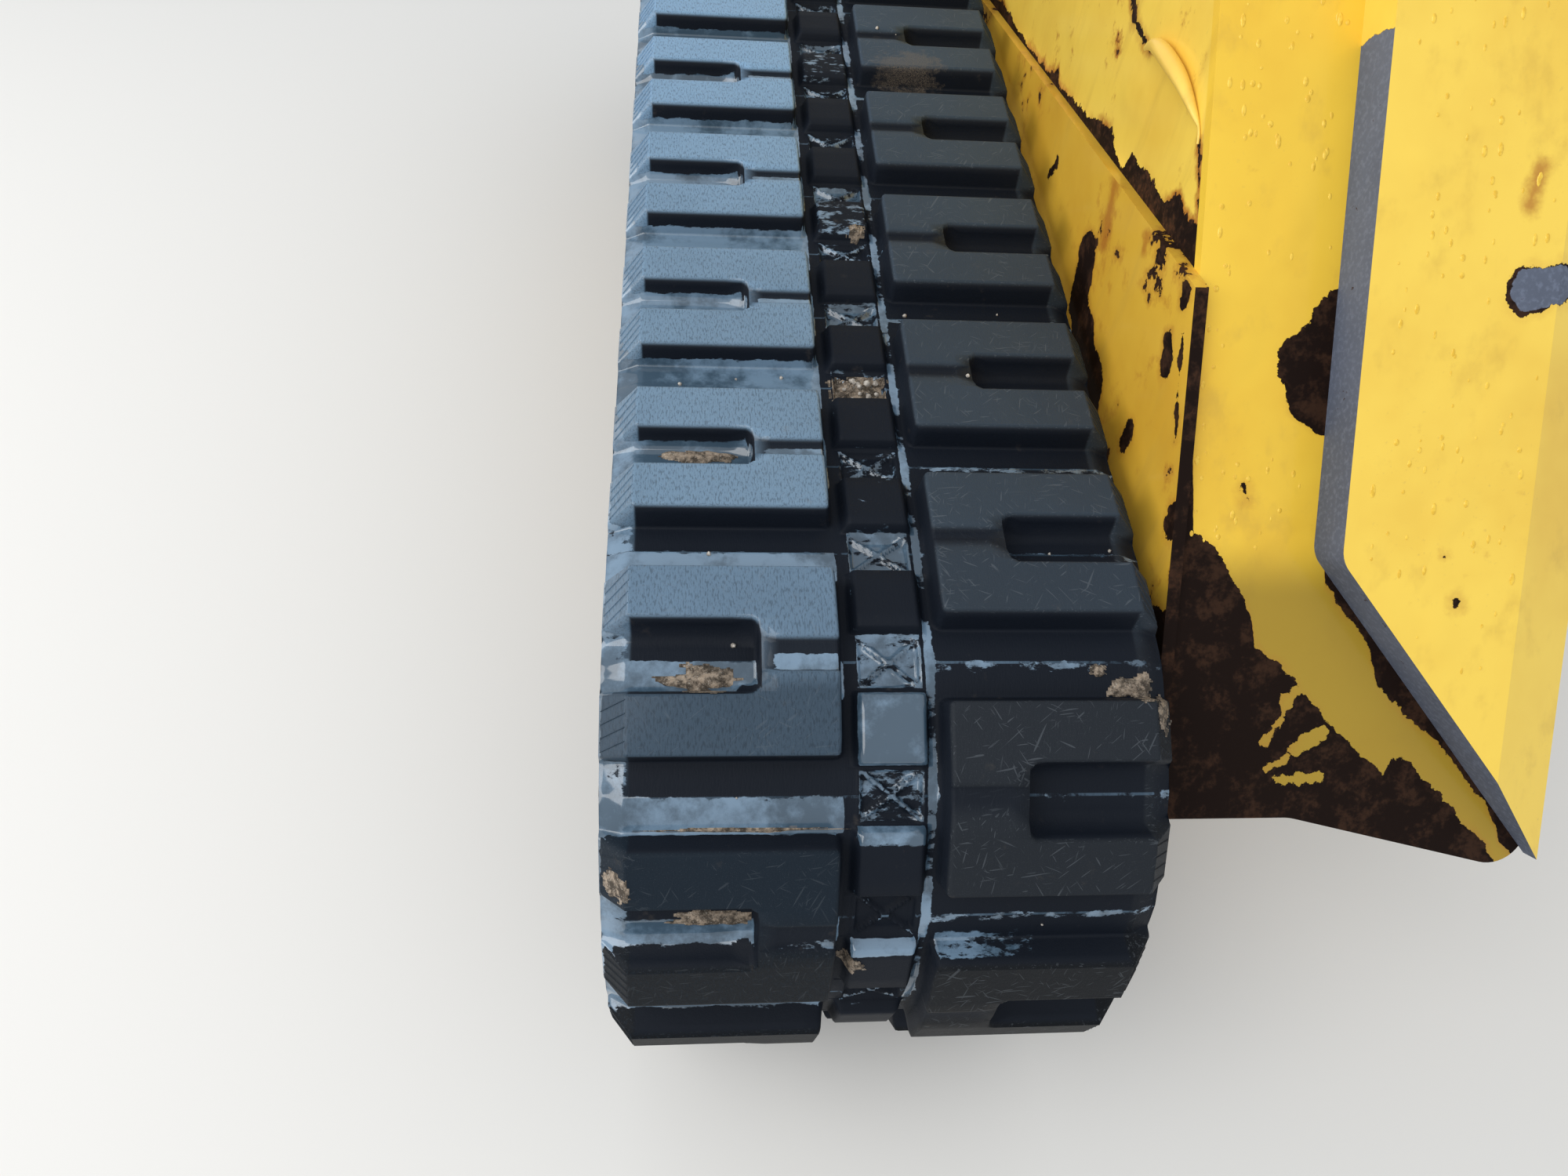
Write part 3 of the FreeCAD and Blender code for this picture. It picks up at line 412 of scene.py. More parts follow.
def belt_face(name, u_lines, s_lines, links, relief):
    """Strip of the belt's outer or inner face; its lines along the belt repeat after so many links."""
    s_all = np.concatenate([s_lines + link * PITCH for link in range(0, LINKS, links)])
    s, u = np.meshgrid(s_all, u_lines, indexing="ij")
    depth = relief(u, s)
    wet_reflection = wet_reflection_on_tread(u, s, depth) if relief is outer_depth else np.zeros_like(depth)
    return belt_strip(name, u, s, depth, wet_reflection)


def tread_centre():
    """Middle strip of the outer face, finer than the columns beside it."""
    u_lines = np.linspace(-CENTRE_HALF, CENTRE_HALF, 38)
    gap_lines = np.linspace(-17 * MM, 17 * MM, 20)
    pad_lines = np.array([-26, -25, -23.5, -22, -11, 0, 11, 22, 23.5, 25, 26]) * MM
    s_lines = np.concatenate([pad_lines, gap_lines + HALF_PITCH])
    return belt_face("tread_centre", u_lines, s_lines, 1, outer_depth)


def tread_column(name, low, high):
    """Strip of lugs, with lines close together at their edges."""
    edges = [side * v for side in (-1, 1) for v in (HALF_WIDTH, COLUMN_OUT, POCKET_IN + WALL, COLUMN_IN)]
    u_lines = lines_near(edges, [k * WALL / 2 for k in (-2, -1, 0, 1, 2)], low, high, 15 * MM)
    places = []
    for core in (0, PITCH):
        places += [core - GROOVE, core + GROOVE, core - POCKET, core + POCKET]
        places += [core + HALF_PITCH + k * WEB_GROOVE_HALF for k in (-1, 0, 1)]
    offsets = [-2.4 * MM, -0.9 * MM, 0.9 * MM, 2.4 * MM]
    s_lines = lines_near(places, offsets, -HALF_PITCH, 3 * HALF_PITCH, 9 * MM)[:-1]
    return belt_face(name, u_lines, s_lines, 2, outer_depth)


SIDE_STEPS = 12
EDGE_TUCK = 1.5 * MM


def belt_side(name, side):
    """Side wall of the belt, slightly bulged between its outer and inner faces."""
    s_all = np.arange(LINKS * SIDE_STEPS) * PITCH / SIDE_STEPS - HALF_PITCH
    s, share = np.meshgrid(s_all, np.linspace(0, 1, 6), indexing="ij")
    depth = outer_depth(np.full_like(s, side * HALF_WIDTH), s) * (1 - share)
    u = side * (HALF_WIDTH - EDGE_TUCK * (2 * share - 1) ** 4 * (share > 0.5))
    return belt_strip(name, u[:, ::side], s[:, ::side], depth[:, ::side], np.zeros_like(s))


def belt_inside():
    edges = [side * v for side in (-1, 1) for v in (HORN_IN, HORN_OUT, WINDOW_HALF)]
    reach = HALF_WIDTH - EDGE_TUCK
    u_lines = lines_near(edges, [-3 * MM, -1.5 * MM, 0, 1.5 * MM, 3 * MM], -reach, reach, 30 * MM)
    places = [side * v for side in (-1, 1) for v in (HORN_TOP, HORN_BASE, HALF_PITCH - WINDOW_REACH)]
    s_lines = lines_near(places, [-1.2 * MM, 1.2 * MM], -HALF_PITCH, HALF_PITCH, 14 * MM)[:-1]
    return belt_face("belt_inside", u_lines[::-1], s_lines, 1, inner_depth)


# Materials
class Graph:
    """Nodes of a material or world, with short calls for the sums its looks are made of."""

    def __init__(self, owner):
        owner.use_nodes = True
        self.nodes = owner.node_tree.nodes
        self.links = owner.node_tree.links

    def put(self, socket, value):
        if isinstance(value, bpy.types.NodeSocket):
            self.links.new(value, socket)
        elif socket.type == "RGBA":
            socket.default_value = (*value, 1.0)
        else:
            socket.default_value = value

    def node(self, kind, inputs, output=0, **settings):
        """Output of a new node with these settings, and inputs given by name or number."""
        node = self.nodes.new("ShaderNode" + kind)
        for key, value in settings.items():
            setattr(node, key, value)
        for key, value in inputs.items():
            self.put(node.inputs[key], value)
        return node.outputs[output]

    def maths(self, operation, *values):
        result = values[0]
        for value in values[1:]:
            result = self.node("Math", {0: result, 1: value}, operation=operation)
        return result

    def times(self, *values):
        return self.maths("MULTIPLY", *values)

    def plus(self, *values):
        return self.maths("ADD", *values)

    def most(self, *values):
        return self.maths("MAXIMUM", *values)

    def least(self, *values):
        return self.maths("MINIMUM", *values)

    def less(self, one, two):
        return self.maths("SUBTRACT", one, two)

    def rest(self, value):
        return self.less(1.0, value)

    def ramp(self, value, low, high):
        """Value mapped from low..high to 0..1 with soft ends."""
        inputs = {"Value": value, "From Min": min(low, high), "From Max": max(low, high)}
        result = self.node("MapRange", inputs, interpolation_type="SMOOTHSTEP")
        return result if low < high else self.rest(result)

    def vector(self, operation, *values, output="Vector"):
        return self.node("VectorMath", dict(enumerate(values)), output, operation=operation)

    def dot(self, one, two):
        return self.vector("DOT_PRODUCT", one, two, output="Value")

    def parts(self, vector):
        return self.node("SeparateXYZ", {0: vector}).node.outputs

    def mix(self, factor, one, two):
        """Colour between two colours."""
        return self.node("Mix", {0: factor, 6: one, 7: two}, 2, data_type="RGBA")

    def blend(self, factor, one, two):
        """Number between two numbers."""
        return self.node("Mix", {0: factor, 2: one, 3: two})


class Surface(Graph):
    """Nodes of a new material, which depend on the place on its object."""

    def __init__(self, name):
        self.material = bpy.data.materials.new(name)
        super().__init__(self.material)
        self.place = self.node("TexCoord", {}, "Object")
        self.normal = self.node("NewGeometry", {}, "Normal")

    def give(self, looks):
        """Material with these values and links at its shader's inputs."""
        shader = self.nodes["Principled BSDF"]
        for name, value in looks.items():
            self.put(shader.inputs[name], value)
        return self.material

    def attribute(self, name, output="Fac"):
        return self.node("Attribute", {}, output, attribute_name=name)

    def noise(self, scale, detail=4.0, roughness=0.6, stretch=(1.0, 1.0, 1.0), turn=0.0, shift=0.0):
        """Noise of the place; stretch squeezes it along axes turned about the third one."""
        layout = {"Rotation": (0.0, 0.0, turn), "Scale": [1 / v for v in stretch], "Location": (shift,) * 3}
        place = self.node("Mapping", {"Vector": self.place, **layout}, vector_type="TEXTURE")
        looks = {"Vector": place, "Scale": scale, "Detail": detail, "Roughness": roughness}
        return self.node("TexNoise", looks, "Fac")

    def bump(self, height, strength, distance, normal=None):
        inputs = {"Height": height, "Strength": strength, "Distance": distance}
        if normal:
            inputs["Normal"] = normal
        return self.node("Bump", inputs)

    def facing(self, direction, share):
        """Large where a face looks along a direction, large and negative elsewhere."""
        return self.less(self.dot(self.normal, direction), share)

    def capsule(self, start, end, radius):
        """How far a place lies inside a capsule between two points, in metres."""
        away = self.vector("SUBTRACT", self.place, start)
        length = (end - start).length
        if length > 0:
            run = (end - start) / length
            reach = self.least(self.most(self.dot(away, run), 0.0), length)
            away = self.vector("SUBTRACT", away, self.vector("MULTIPLY", run, reach))
        return self.less(radius, self.vector("LENGTH", away, output="Value"))

    def spots(self, places):
        """Deepest of several capsules given as (start, end, radius in millimetres)."""
        return self.most(*[self.capsule(start, end, radius * MM) for start, end, radius in places])

    def band(self, origin, along, across, stops):
        """How far a place lies inside an edge whose width follows (distance, width) stops in millimetres."""
        stops = [(at * MM, width * MM) for at, width in stops]
        away = self.vector("SUBTRACT", self.place, origin)
        first, last = stops[0][0], stops[-1][0]
        widths = [width for at, width in stops]
        least, span = min(widths), max(widths) - min(widths)
        share = self.times(self.less(self.dot(away, along), first), 1 / (last - first))
        tone = self.node("ValToRGB", {"Fac": share})
        points = tone.node.color_ramp.elements
        points.remove(points[1])
        for index, (at, width) in enumerate(stops):
            point = points.new((at - first) / (last - first)) if index else points[0]
            point.position = (at - first) / (last - first)
            point.color = (*[(width - least) / span] * 3, 1.0)
        return self.less(self.plus(self.times(tone, span), least), self.dot(away, across))


def dim(colour, share):
    return tuple(c * share for c in colour)


# Rubber
DARK_RUBBER = (0.0055, 0.0085, 0.0150)
CHARCOAL = (0.0150, 0.0188, 0.0248)
NIGHT = (0.0075, 0.0150, 0.0250)
SHADED_RUBBER = (0.0045, 0.0058, 0.0080)
# Slate colours of the sky's reflection painted on lug tops that face up, paler and bluer further along the
# top run
SHEEN_SLATE = (0.112, 0.182, 0.262)
FAR_SHEEN_SLATE = (0.142, 0.228, 0.322)
SKY_REFLECTION_SLATE = (0.195, 0.335, 0.500)
# Pale and dim colours of the sky's reflection painted on the water
PALE_WATER_REFLECTION = (0.160, 0.250, 0.350)
DIM_WATER_REFLECTION = (0.046, 0.085, 0.128)
SCRATCH = (0.15, 0.17, 0.19)
DUST = (0.16, 0.13, 0.10)
STAIN_AT = (88 * MM, LINKS * PITCH - 662 * MM, TREAD)
SCRATCH_TURNS = [(0.2, 820.0), (0.9, 740.0), (-0.6, 780.0), (1.45, 860.0), (-1.15, 700.0), (0.5, 380.0)]


def scratches(g):
    """Fine short scratches in several directions."""
    masks = []
    for index, (turn, scale) in enumerate(SCRATCH_TURNS):
        lines = g.noise(scale, 0.0, 0.5, (1.0, 0.07, 1.0), turn, index * 0.37)
        field = g.noise(24.0, 1.0, 0.5, shift=index * 0.61)
        masks.append(g.times(g.ramp(lines, 0.755, 0.79), g.ramp(field, 0.44, 0.52)))
    return g.most(*masks)


def lug_tops(g, u, depth):
    """Share of lug top or bevelled lug end."""
    end = g.times(g.ramp(g.node("Math", {0: u}, operation="ABSOLUTE"), COLUMN_OUT - 3 * MM, COLUMN_OUT),
                  g.ramp(depth, CARCASS - 6 * MM, CARCASS + 4 * MM))
    return g.most(g.ramp(depth, TREAD - 5.5 * MM, TREAD - 0.5 * MM), g.times(end, 0.9))


def seam_highlight(g, s, depth, wash):
    """Painted highlight along the thin mould line over each gap's middle, on the belt's floor."""
    seam_glint = g.ramp(g.maths("PINGPONG", s, HALF_PITCH), HALF_PITCH - 1.1 * MM, HALF_PITCH - 0.5 * MM)
    seam_glint = g.times(seam_glint, g.ramp(depth, CARCASS + 2 * MM, CARCASS))
    return g.times(seam_glint, g.ramp(depth, CARCASS - 1 * MM, CARCASS - 0.2 * MM), g.ramp(wash, 0.40, 0.52), 0.5)


def rubber_material():
    """Worn tread rubber: charcoal, with the sky's reflection painted in slate on lug tops that face up,
    strongest on the wet outboard column and paler and bluer further off, painted shade on lugs that face
    down, and water on its floors with its pale reflection painted in.
    """
    g = Surface("worn_rubber")
    g.place = g.attribute("belt_at", "Vector")
    u, s, depth = g.parts(g.place)
    lie = g.attribute("lie")
    top = lug_tops(g, u, depth)
    outboard = g.ramp(u, -30 * MM, -36 * MM)
    grain = g.noise(800.0, 3.0, 0.65, (1.0, 0.24, 1.0))
    fine = g.noise(1400.0, 2.0)
    wash = g.noise(55.0, 5.0, 0.65)
    broad = g.noise(9.0, 3.0)

    # Painted sheen: the sky's reflection painted on lug tops that face up, most on the wet outboard column, a
    # little on the inboard one
    sheen = g.plus(g.times(outboard, g.ramp(lie, 0.80, 1.0)),
                   g.times(g.rest(outboard), g.ramp(lie, 0.97, 1.0), 0.12))
    sheen = g.times(sheen, top, g.blend(broad, 0.72, 1.25))
    sheen_slate = g.mix(g.ramp(s, 0.35, 1.0), SHEEN_SLATE, FAR_SHEEN_SLATE)
    sky_reflection = g.times(g.ramp(s, LINKS * PITCH - 0.18, LINKS * PITCH - 0.78), g.ramp(s, 2.8, 3.2))
    sheen_slate = g.mix(sky_reflection, sheen_slate, SKY_REFLECTION_SLATE)
    # Painted shade: lugs darker as they turn to face down
    lug = g.mix(g.ramp(lie, 0.10, 0.72), SHADED_RUBBER, g.mix(outboard, CHARCOAL, NIGHT))
    colour = g.mix(top, DARK_RUBBER, g.mix(sheen, lug, sheen_slate))

    colour = g.mix(g.times(g.ramp(grain, 0.52, 0.36), top, outboard, 0.45), colour, NIGHT)
    colour = g.mix(g.times(g.ramp(fine, 0.60, 0.80), top, 0.30), colour, SCRATCH)
    colour = g.mix(g.times(g.ramp(wash, 0.62, 0.85), 0.22), colour, DUST)
    marks = g.times(scratches(g), top, g.blend(outboard, 0.24, 0.12))
    colour = g.mix(marks, colour, SCRATCH)
    away = g.vector("DISTANCE", g.place, STAIN_AT, output="Value")
    dirt = g.ramp(g.plus(away, g.times(wash, 90 * MM)), 86 * MM, 70 * MM)
    colour = g.mix(g.times(dirt, g.ramp(fine, 0.38, 0.62), 0.62), colour, DUST)

    torn = g.noise(120.0, 6.0, 0.68, (0.45, 1.0, 1.0))
    wet_reflection = g.ramp(g.plus(g.attribute("wet_reflection"), g.times(torn, 0.9)), 0.98, 1.05)
    # Painted reflection: the sky painted pale on the water, dim in blotches
    water_reflection = g.mix(g.ramp(g.plus(broad, g.times(wash, 0.7)), 0.72, 0.98), PALE_WATER_REFLECTION, DIM_WATER_REFLECTION)
    colour = g.mix(g.most(g.times(wet_reflection, 0.95), seam_highlight(g, s, depth, wash)), colour, water_reflection)
    dry = g.rest(wet_reflection)
    normal = g.bump(g.times(grain, dry), 0.45, 0.6 * MM)
    normal = g.bump(g.times(fine, dry), 0.3, 0.3 * MM, normal)
    normal = g.bump(wash, 0.35, 1.0 * MM, normal)
    normal = g.bump(g.times(marks, -1.0), 0.5, 0.4 * MM, normal)
    return g.give({
        "Base Color": colour, "Roughness": g.blend(sheen, 0.60, 0.42), "Specular IOR Level": 0.15,
        "Coat Weight": g.most(wet_reflection, g.times(sheen, 0.35)), "Coat Roughness": 0.10, "Coat IOR": 1.75,
        "Normal": normal,
    })


# Mud, stones and drops
MUD_PALE = (0.34, 0.265, 0.195)
MUD_DARK = (0.055, 0.043, 0.032)
GRIT = (0.50, 0.46, 0.40)
STONE_PALE = (0.52, 0.48, 0.43)
STONE_DARK = (0.27, 0.24, 0.21)
DROP_DARK = (0.76, 0.46, 0.04)
DROP_PALE = (0.88, 0.58, 0.07)


def mud_material():
    g = Surface("caked_mud")
    patches = g.noise(140.0, 5.0, 0.7)
    grit = g.noise(700.0, 3.0, 0.7)
    colour = g.mix(g.ramp(patches, 0.36, 0.60), MUD_PALE, MUD_DARK)
    colour = g.mix(g.times(g.ramp(grit, 0.58, 0.70), 0.7), colour, GRIT)
    return g.give({"Base Color": colour, "Roughness": g.ramp(patches, 0.30, 0.60),
                   "Normal": g.bump(grit, 0.8, 1.0 * MM)})


def stone_material():
    g = Surface("pale_stone")
    tone = g.noise(210.0)
    return g.give({"Base Color": g.mix(g.ramp(tone, 0.4, 0.6), STONE_PALE, STONE_DARK),
                   "Roughness": g.blend(tone, 0.35, 0.65), "Normal": g.bump(tone, 0.5, 0.6 * MM)})


def drop_material():
    g = Surface("rain_drop")
    return g.give({"Base Color": g.mix(g.ramp(g.noise(300.0, 2.0), 0.4, 0.6), DROP_DARK, DROP_PALE),
                   "Roughness": g.ramp(g.noise(80.0, 2.0), -1.0, 6.0), "Specular IOR Level": 0.4})


# Places on the plates beside the belt and on the slanted nose: plain numbers are millimetres
SLOPE = PIECES[0][3] % (2 * math.pi) - math.pi / 2
PLATE_U = 215
PLATE_BACK = 225
NOSE_THICK = 38 * MM
INBOARD = Vector((1, 0, 0))


def beside_run(ahead, above, u):
    """Place beside the top run: rearward of the idler and above the lug tops, u inboard."""
    reach = IDLER_RADIUS + TREAD + above * MM
    y = IDLER.y + ahead * MM * math.cos(SLOPE) - reach * math.sin(SLOPE)
    z = IDLER.z + ahead * MM * math.sin(SLOPE) + reach * math.cos(SLOPE)
    return Vector((BELT_X + u * MM, y, z))


NOSE_LOW = beside_run(-15, -50, 0)
SLANT_RUN = (beside_run(233, 188, 0) - NOSE_LOW).normalized()
SLANT_OUT = Vector((0, -SLANT_RUN.z, SLANT_RUN.y))
DIAGONAL_START = beside_run(152, 133, PLATE_U)
DIAGONAL_RUN = (beside_run(1330, -155, PLATE_U) - DIAGONAL_START).normalized()
DIAGONAL_UP = Vector((0, -DIAGONAL_RUN.z, DIAGONAL_RUN.y))


def on_nose(u, s, off=0.0):
    """Place on the slanted nose: inboard and up along it, and metres off its plane."""
    return NOSE_LOW + SLANT_RUN * (s * MM) + SLANT_OUT * off + INBOARD * (u * MM)


def plate_marks(rows, u):
    """Spots on a side plate from rows of (ahead, above, ahead, above, radius)."""
    return [(beside_run(a, b, u), beside_run(c, d, u), radius) for a, b, c, d, radius in rows]


def nose_marks(rows, off=0.0):
    """Spots on the slanted nose from rows of (u, s, u, s, radius)."""
    return [(on_nose(a, b, off), on_nose(c, d, off), radius) for a, b, c, d, radius in rows]


def chain(points, radius):
    return [(*one, *two, radius) for one, two in zip(points, points[1:])]


# Paint
YELLOW = (0.87, 0.56, 0.052)
LIT_YELLOW = (0.90, 0.62, 0.090)
SHADED_YELLOW = (0.72, 0.43, 0.045)
# Paler copy of the yellow: painted highlight on the rolled paint
HIGHLIT_CURL_YELLOW = (0.90, 0.62, 0.12)
WORN_TONE = (0.88, 0.80, 0.70)
STREAK = (0.56, 0.33, 0.05)
SPECK = (0.45, 0.27, 0.08)
BARE = (0.010, 0.0045, 0.0030)
BROWN = (0.036, 0.0165, 0.0090)
FRESH_RUST = (0.080, 0.031, 0.013)
STEEL = (0.120, 0.138, 0.186)
RUST = (0.42, 0.15, 0.02)
SOIL = (0.085, 0.060, 0.040)
DRY_SOIL = (0.23, 0.175, 0.12)
GRIME_LOW = 80 * MM
GRIME_TOP = 420 * MM


def flaked_paint(name, yellow, amount, bare=None, steel=None, stain=None, shade=None, fringed=0.5, grime=0.0):
    """Glossy paint flaked to bare metal, thinly rusted round its flakes.

    bare, steel and stain give how far a place lies inside such marks, in metres, and shade the share of
    painted shade."""
    g = Surface(name)
    jagged = g.noise(42.0, 6.0, 0.62)
    fine = g.noise(260.0)
    wander = g.noise(9.0, 3.0, 0.5)
    ragged = g.plus(g.times(g.less(jagged, 0.5), 26 * MM), g.times(g.less(fine, 0.5), 6 * MM))
    field = g.times(g.plus(jagged, g.times(wander, 0.9), amount - 1.30), 60 * MM)
    if bare:
        field = g.most(field, g.plus(bare(g), ragged))
    hole = g.ramp(field, 0.0, 0.5 * MM)

    worn = tuple(c * k for c, k in zip(yellow, WORN_TONE))
    paint = g.mix(g.ramp(g.noise(6.0), 0.35, 0.75), yellow, worn)
    streak = g.noise(30.0, stretch=(1.0, 1.0, 0.15))
    paint = g.mix(g.times(g.ramp(streak, 0.52, 0.80), 0.45), paint, STREAK)
    paint = g.mix(g.times(g.ramp(fine, 0.60, 0.80), g.ramp(wander, 0.45, 0.62), 0.30), paint, SPECK)
    if shade:
        # Painted shade: the paint darkened where shade falls
        paint = g.mix(shade(g), paint, dim(yellow, 0.38))
    if stain:
        run = g.plus(stain(g), g.times(ragged, 0.8))
        paint = g.mix(g.times(g.ramp(run, -6 * MM, 6 * MM), 0.8), paint, RUST)
    halo = g.ramp(field, -9 * MM, 1 * MM)
    paint = g.mix(g.times(halo, g.ramp(wander, 0.42, 0.58), fringed), paint, RUST)

    metal = g.mix(g.ramp(g.plus(jagged, g.times(fine, 0.4)), 0.66, 0.86), BARE, BROWN)
    rusty = g.times(g.ramp(g.plus(jagged, g.times(fine, 0.8)), 0.98, 1.16), max(0.0, fringed - 0.3))
    metal = g.mix(rusty, metal, FRESH_RUST)
    if steel:
        clean = g.ramp(g.plus(steel(g), g.times(ragged, 0.5)), 0.0, 0.6 * MM)
        plain = g.mix(g.ramp(wander, 0.35, 0.65), STEEL, dim(STEEL, 0.8))
        plain = g.mix(g.times(g.ramp(fine, 0.45, 0.68), 0.5), plain, dim(STEEL, 1.5))
        plain = g.mix(g.ramp(g.plus(jagged, g.times(fine, 0.5)), 0.93, 1.02), plain, BROWN)
        metal = g.mix(clean, metal, plain)
        hole = g.most(hole, clean)
    colour = g.mix(hole, paint, metal)
    if grime:
        low = g.ramp(g.parts(g.place)[2], GRIME_TOP, GRIME_LOW)
        splash = g.plus(g.times(low, 0.42), g.times(jagged, 0.7), g.times(fine, 0.25))
        splash = g.times(g.ramp(splash, 0.62, 0.86), grime)
        colour = g.mix(splash, colour, g.mix(g.ramp(wander, 0.4, 0.6), SOIL, DRY_SOIL))
        hole = g.most(hole, splash)

    normal = g.bump(g.times(hole, -1.0), 0.7, 0.6 * MM)
    normal = g.bump(jagged, 0.10, 0.8 * MM, normal)
    normal = g.bump(g.ramp(g.noise(14.0, 1.0, 0.4), 0.55, 0.75), 0.35, 2.5 * MM, normal)
    return g.give({
        "Base Color": colour, "Roughness": g.blend(hole, 0.42, 0.70), "Specular IOR Level": 0.10,
        "Coat Weight": g.times(g.rest(hole), 0.5), "Coat Roughness": 0.16, "Normal": normal,
    })


# Marks on the side plates in millimetres: (ahead, above, ahead, above, radius), and widths along the band
LOWER_FLAKES = [
    (160, 120, 158, 114, 7), (152, 80, 141, 66, 9), (152, -12, 150, -24, 9), (40, 18, 36, 8, 12),
    (346, 6, 338, -14, 22), (330, -34, 236, -52, 25), (490, 5, 498, -14, 5), (139, 99, 111, 71, 2),
    (111, 71, 85, 49, 2), (700, -90, 712, -96, 12), (1010, -150, 1030, -156, 16),
]
LOWER_STAINS = [(342, 80, 322, 40, 9), (250, 100, 246, 90, 4)]
BAND_TOP = [
    (0, 30), (48, 29), (60, 22), (90, 31), (113, 15), (160, 19), (204, 19), (214, 4), (232, 6), (262, 20),
    (320, 10), (386, 6), (438, 5), (448, 20), (458, 6), (521, 3), (600, 5), (700, 12), (780, 8), (930, -12),
]
CURL = [(391, 173), (373, 186), (351, 193), (320, 197), (298, 197), (274, 193), (257, 188), (250, 181)]
CRACK = [(500, 196), (458, 178), (441, 170), (405, 172), (391, 173)]
CORNER_CRACK = [(252, 182), (229, 166), (183, 133), (139, 99)]

# Marks on the slanted nose in millimetres: (u, s, u, s, radius), and widths along its bare edges
WALL_EDGE = [
    (222, 150), (229, 141), (235, 72), (258, 54), (262, 45), (284, 14), (290, -14), (308, -28), (320, -36),
    (351, -71), (404, -118), (410, -104), (419, -103), (441, -123), (478, -160), (540, -222),
]
WALL_BAND = [
    (330, -900), (338, -900), (339, -57), (341, -36), (354, -18), (376, 5), (386, 28), (392, 48), (432, 79),
    (459, 103), (497, 148), (509, 176), (540, 210),
]
WALL_FLAKE = [
    (130, -900), (140, -900), (141, -345), (146, -324), (158, -302), (172, -296), (199, -289), (211, -291),
    (221, -306), (237, -315), (249, -326), (256, -334), (262, -345), (263, -900), (270, -900),
]
WALL_ISLANDS = [
    (326, -50, 318, -66, 2.5), (316, -72, 305, -90, 1.5), (350, -84, 330, -97, 4), (324, -102, 308, -112, 2),
    (352, -118, 336, -120, 3.5), (328, -121, 314, -119, 1.5),
]
WALL_CRACK = [(271, 108, 274, 98, 2.5)]
NOSE_FLAKES = [(447, 249, 486, 255, 15), (420, 28, 421, 26, 3)]
NOSE_STAINS = [(440, 306, 446, 330, 7)]
NOSE_PATCH = [(449, 250, 472, 253, 14)]
NOSE_PAINTED_FROM = [(0, 418), (1000, 419)]


def lower_bare(g):
    places = plate_marks(LOWER_FLAKES, PLATE_U) + nose_marks([(PLATE_U, -200, PLATE_U, -40, 55)])
    front = g.least(g.facing(SLANT_OUT, 0.7), g.spots(nose_marks([(220, -200, 220, 228, 26)])))
    return g.most(g.least(g.spots(places), g.facing(-INBOARD, 0.1)), front)


def lower_stain(g):
    return g.least(g.spots(plate_marks(LOWER_STAINS, PLATE_U)), g.facing(-INBOARD, 0.1))


def upper_bare(g):
    band = g.band(DIAGONAL_START, DIAGONAL_RUN, DIAGONAL_UP, BAND_TOP)
    cracks = plate_marks(chain(CRACK, 2.5) + chain(CORNER_CRACK, 1.5), PLATE_BACK)
    return g.least(g.most(band, g.spots(cracks)), g.facing(-INBOARD, 0.1))


def wall_bare(g):
    """Bare lower part with islands of paint, the band below the nose plate and the flake beside it."""
    zero = on_nose(0, 0)
    low = g.band(zero, INBOARD, SLANT_RUN, WALL_EDGE)
    low = g.least(low, g.times(g.spots(nose_marks(WALL_ISLANDS)), -1.0))
    band = g.band(zero, INBOARD, -SLANT_RUN, WALL_BAND)
    flake = g.band(zero, SLANT_RUN, -INBOARD, WALL_FLAKE)
    return g.least(g.most(low, band, flake, g.spots(nose_marks(WALL_CRACK))), g.facing(SLANT_OUT, 0.5))


def wall_shade(g):
    """Painted shade on the wall's lower part, where it tucks under the nose plate."""
    up = g.dot(g.vector("SUBTRACT", g.place, NOSE_LOW), SLANT_RUN)
    return g.times(g.ramp(up, 72 * MM, 22 * MM), 0.88)


def nose_bare(g):
    return g.spots(nose_marks(NOSE_FLAKES, NOSE_THICK))


def nose_stain(g):
    return g.spots(nose_marks(NOSE_STAINS, NOSE_THICK))


def nose_steel(g):
    """Bare edge of the thick plate, painted only near its top, and a bare patch on its face."""
    edge = g.facing((-INBOARD * 0.9 - SLANT_RUN * 0.43).normalized(), 0.55)
    edge = g.least(edge, g.band(NOSE_LOW, INBOARD, SLANT_RUN, NOSE_PAINTED_FROM))
    return g.most(edge, g.spots(nose_marks(NOSE_PATCH, NOSE_THICK)))


# Metals: colour, worn colour, roughness, metallic and scale of the grain
METALS = {
    "bolt_steel": ((0.30, 0.29, 0.27), (0.17, 0.10, 0.06), 0.45, 0.8, 300.0),
    "cast_iron": ((0.05, 0.047, 0.045), (0.13, 0.075, 0.045), 0.6, 0.6, 180.0),
    "worn_steel": ((0.36, 0.35, 0.34), (0.20, 0.13, 0.09), 0.4, 0.9, 260.0),
    "dark_paint": ((0.03, 0.03, 0.032), (0.10, 0.075, 0.06), 0.5, 0.1, 120.0),
}


def metal_material(name):
    """Cast or machined metal with patches of rust and grime."""
    colour, worn, roughness, metallic, grain_scale = METALS[name]
    g = Surface(name)
    patches = g.noise(16.0, 6.0, 0.7)
    return g.give({
        "Base Color": g.mix(g.ramp(patches, 0.42, 0.68), colour, worn), "Metallic": metallic,
        "Roughness": g.blend(patches, roughness - 0.12, roughness + 0.2), "Specular IOR Level": 0.3,
        "Normal": g.bump(g.noise(grain_scale, 5.0, 0.7), 0.5, 0.8 * MM),
    })


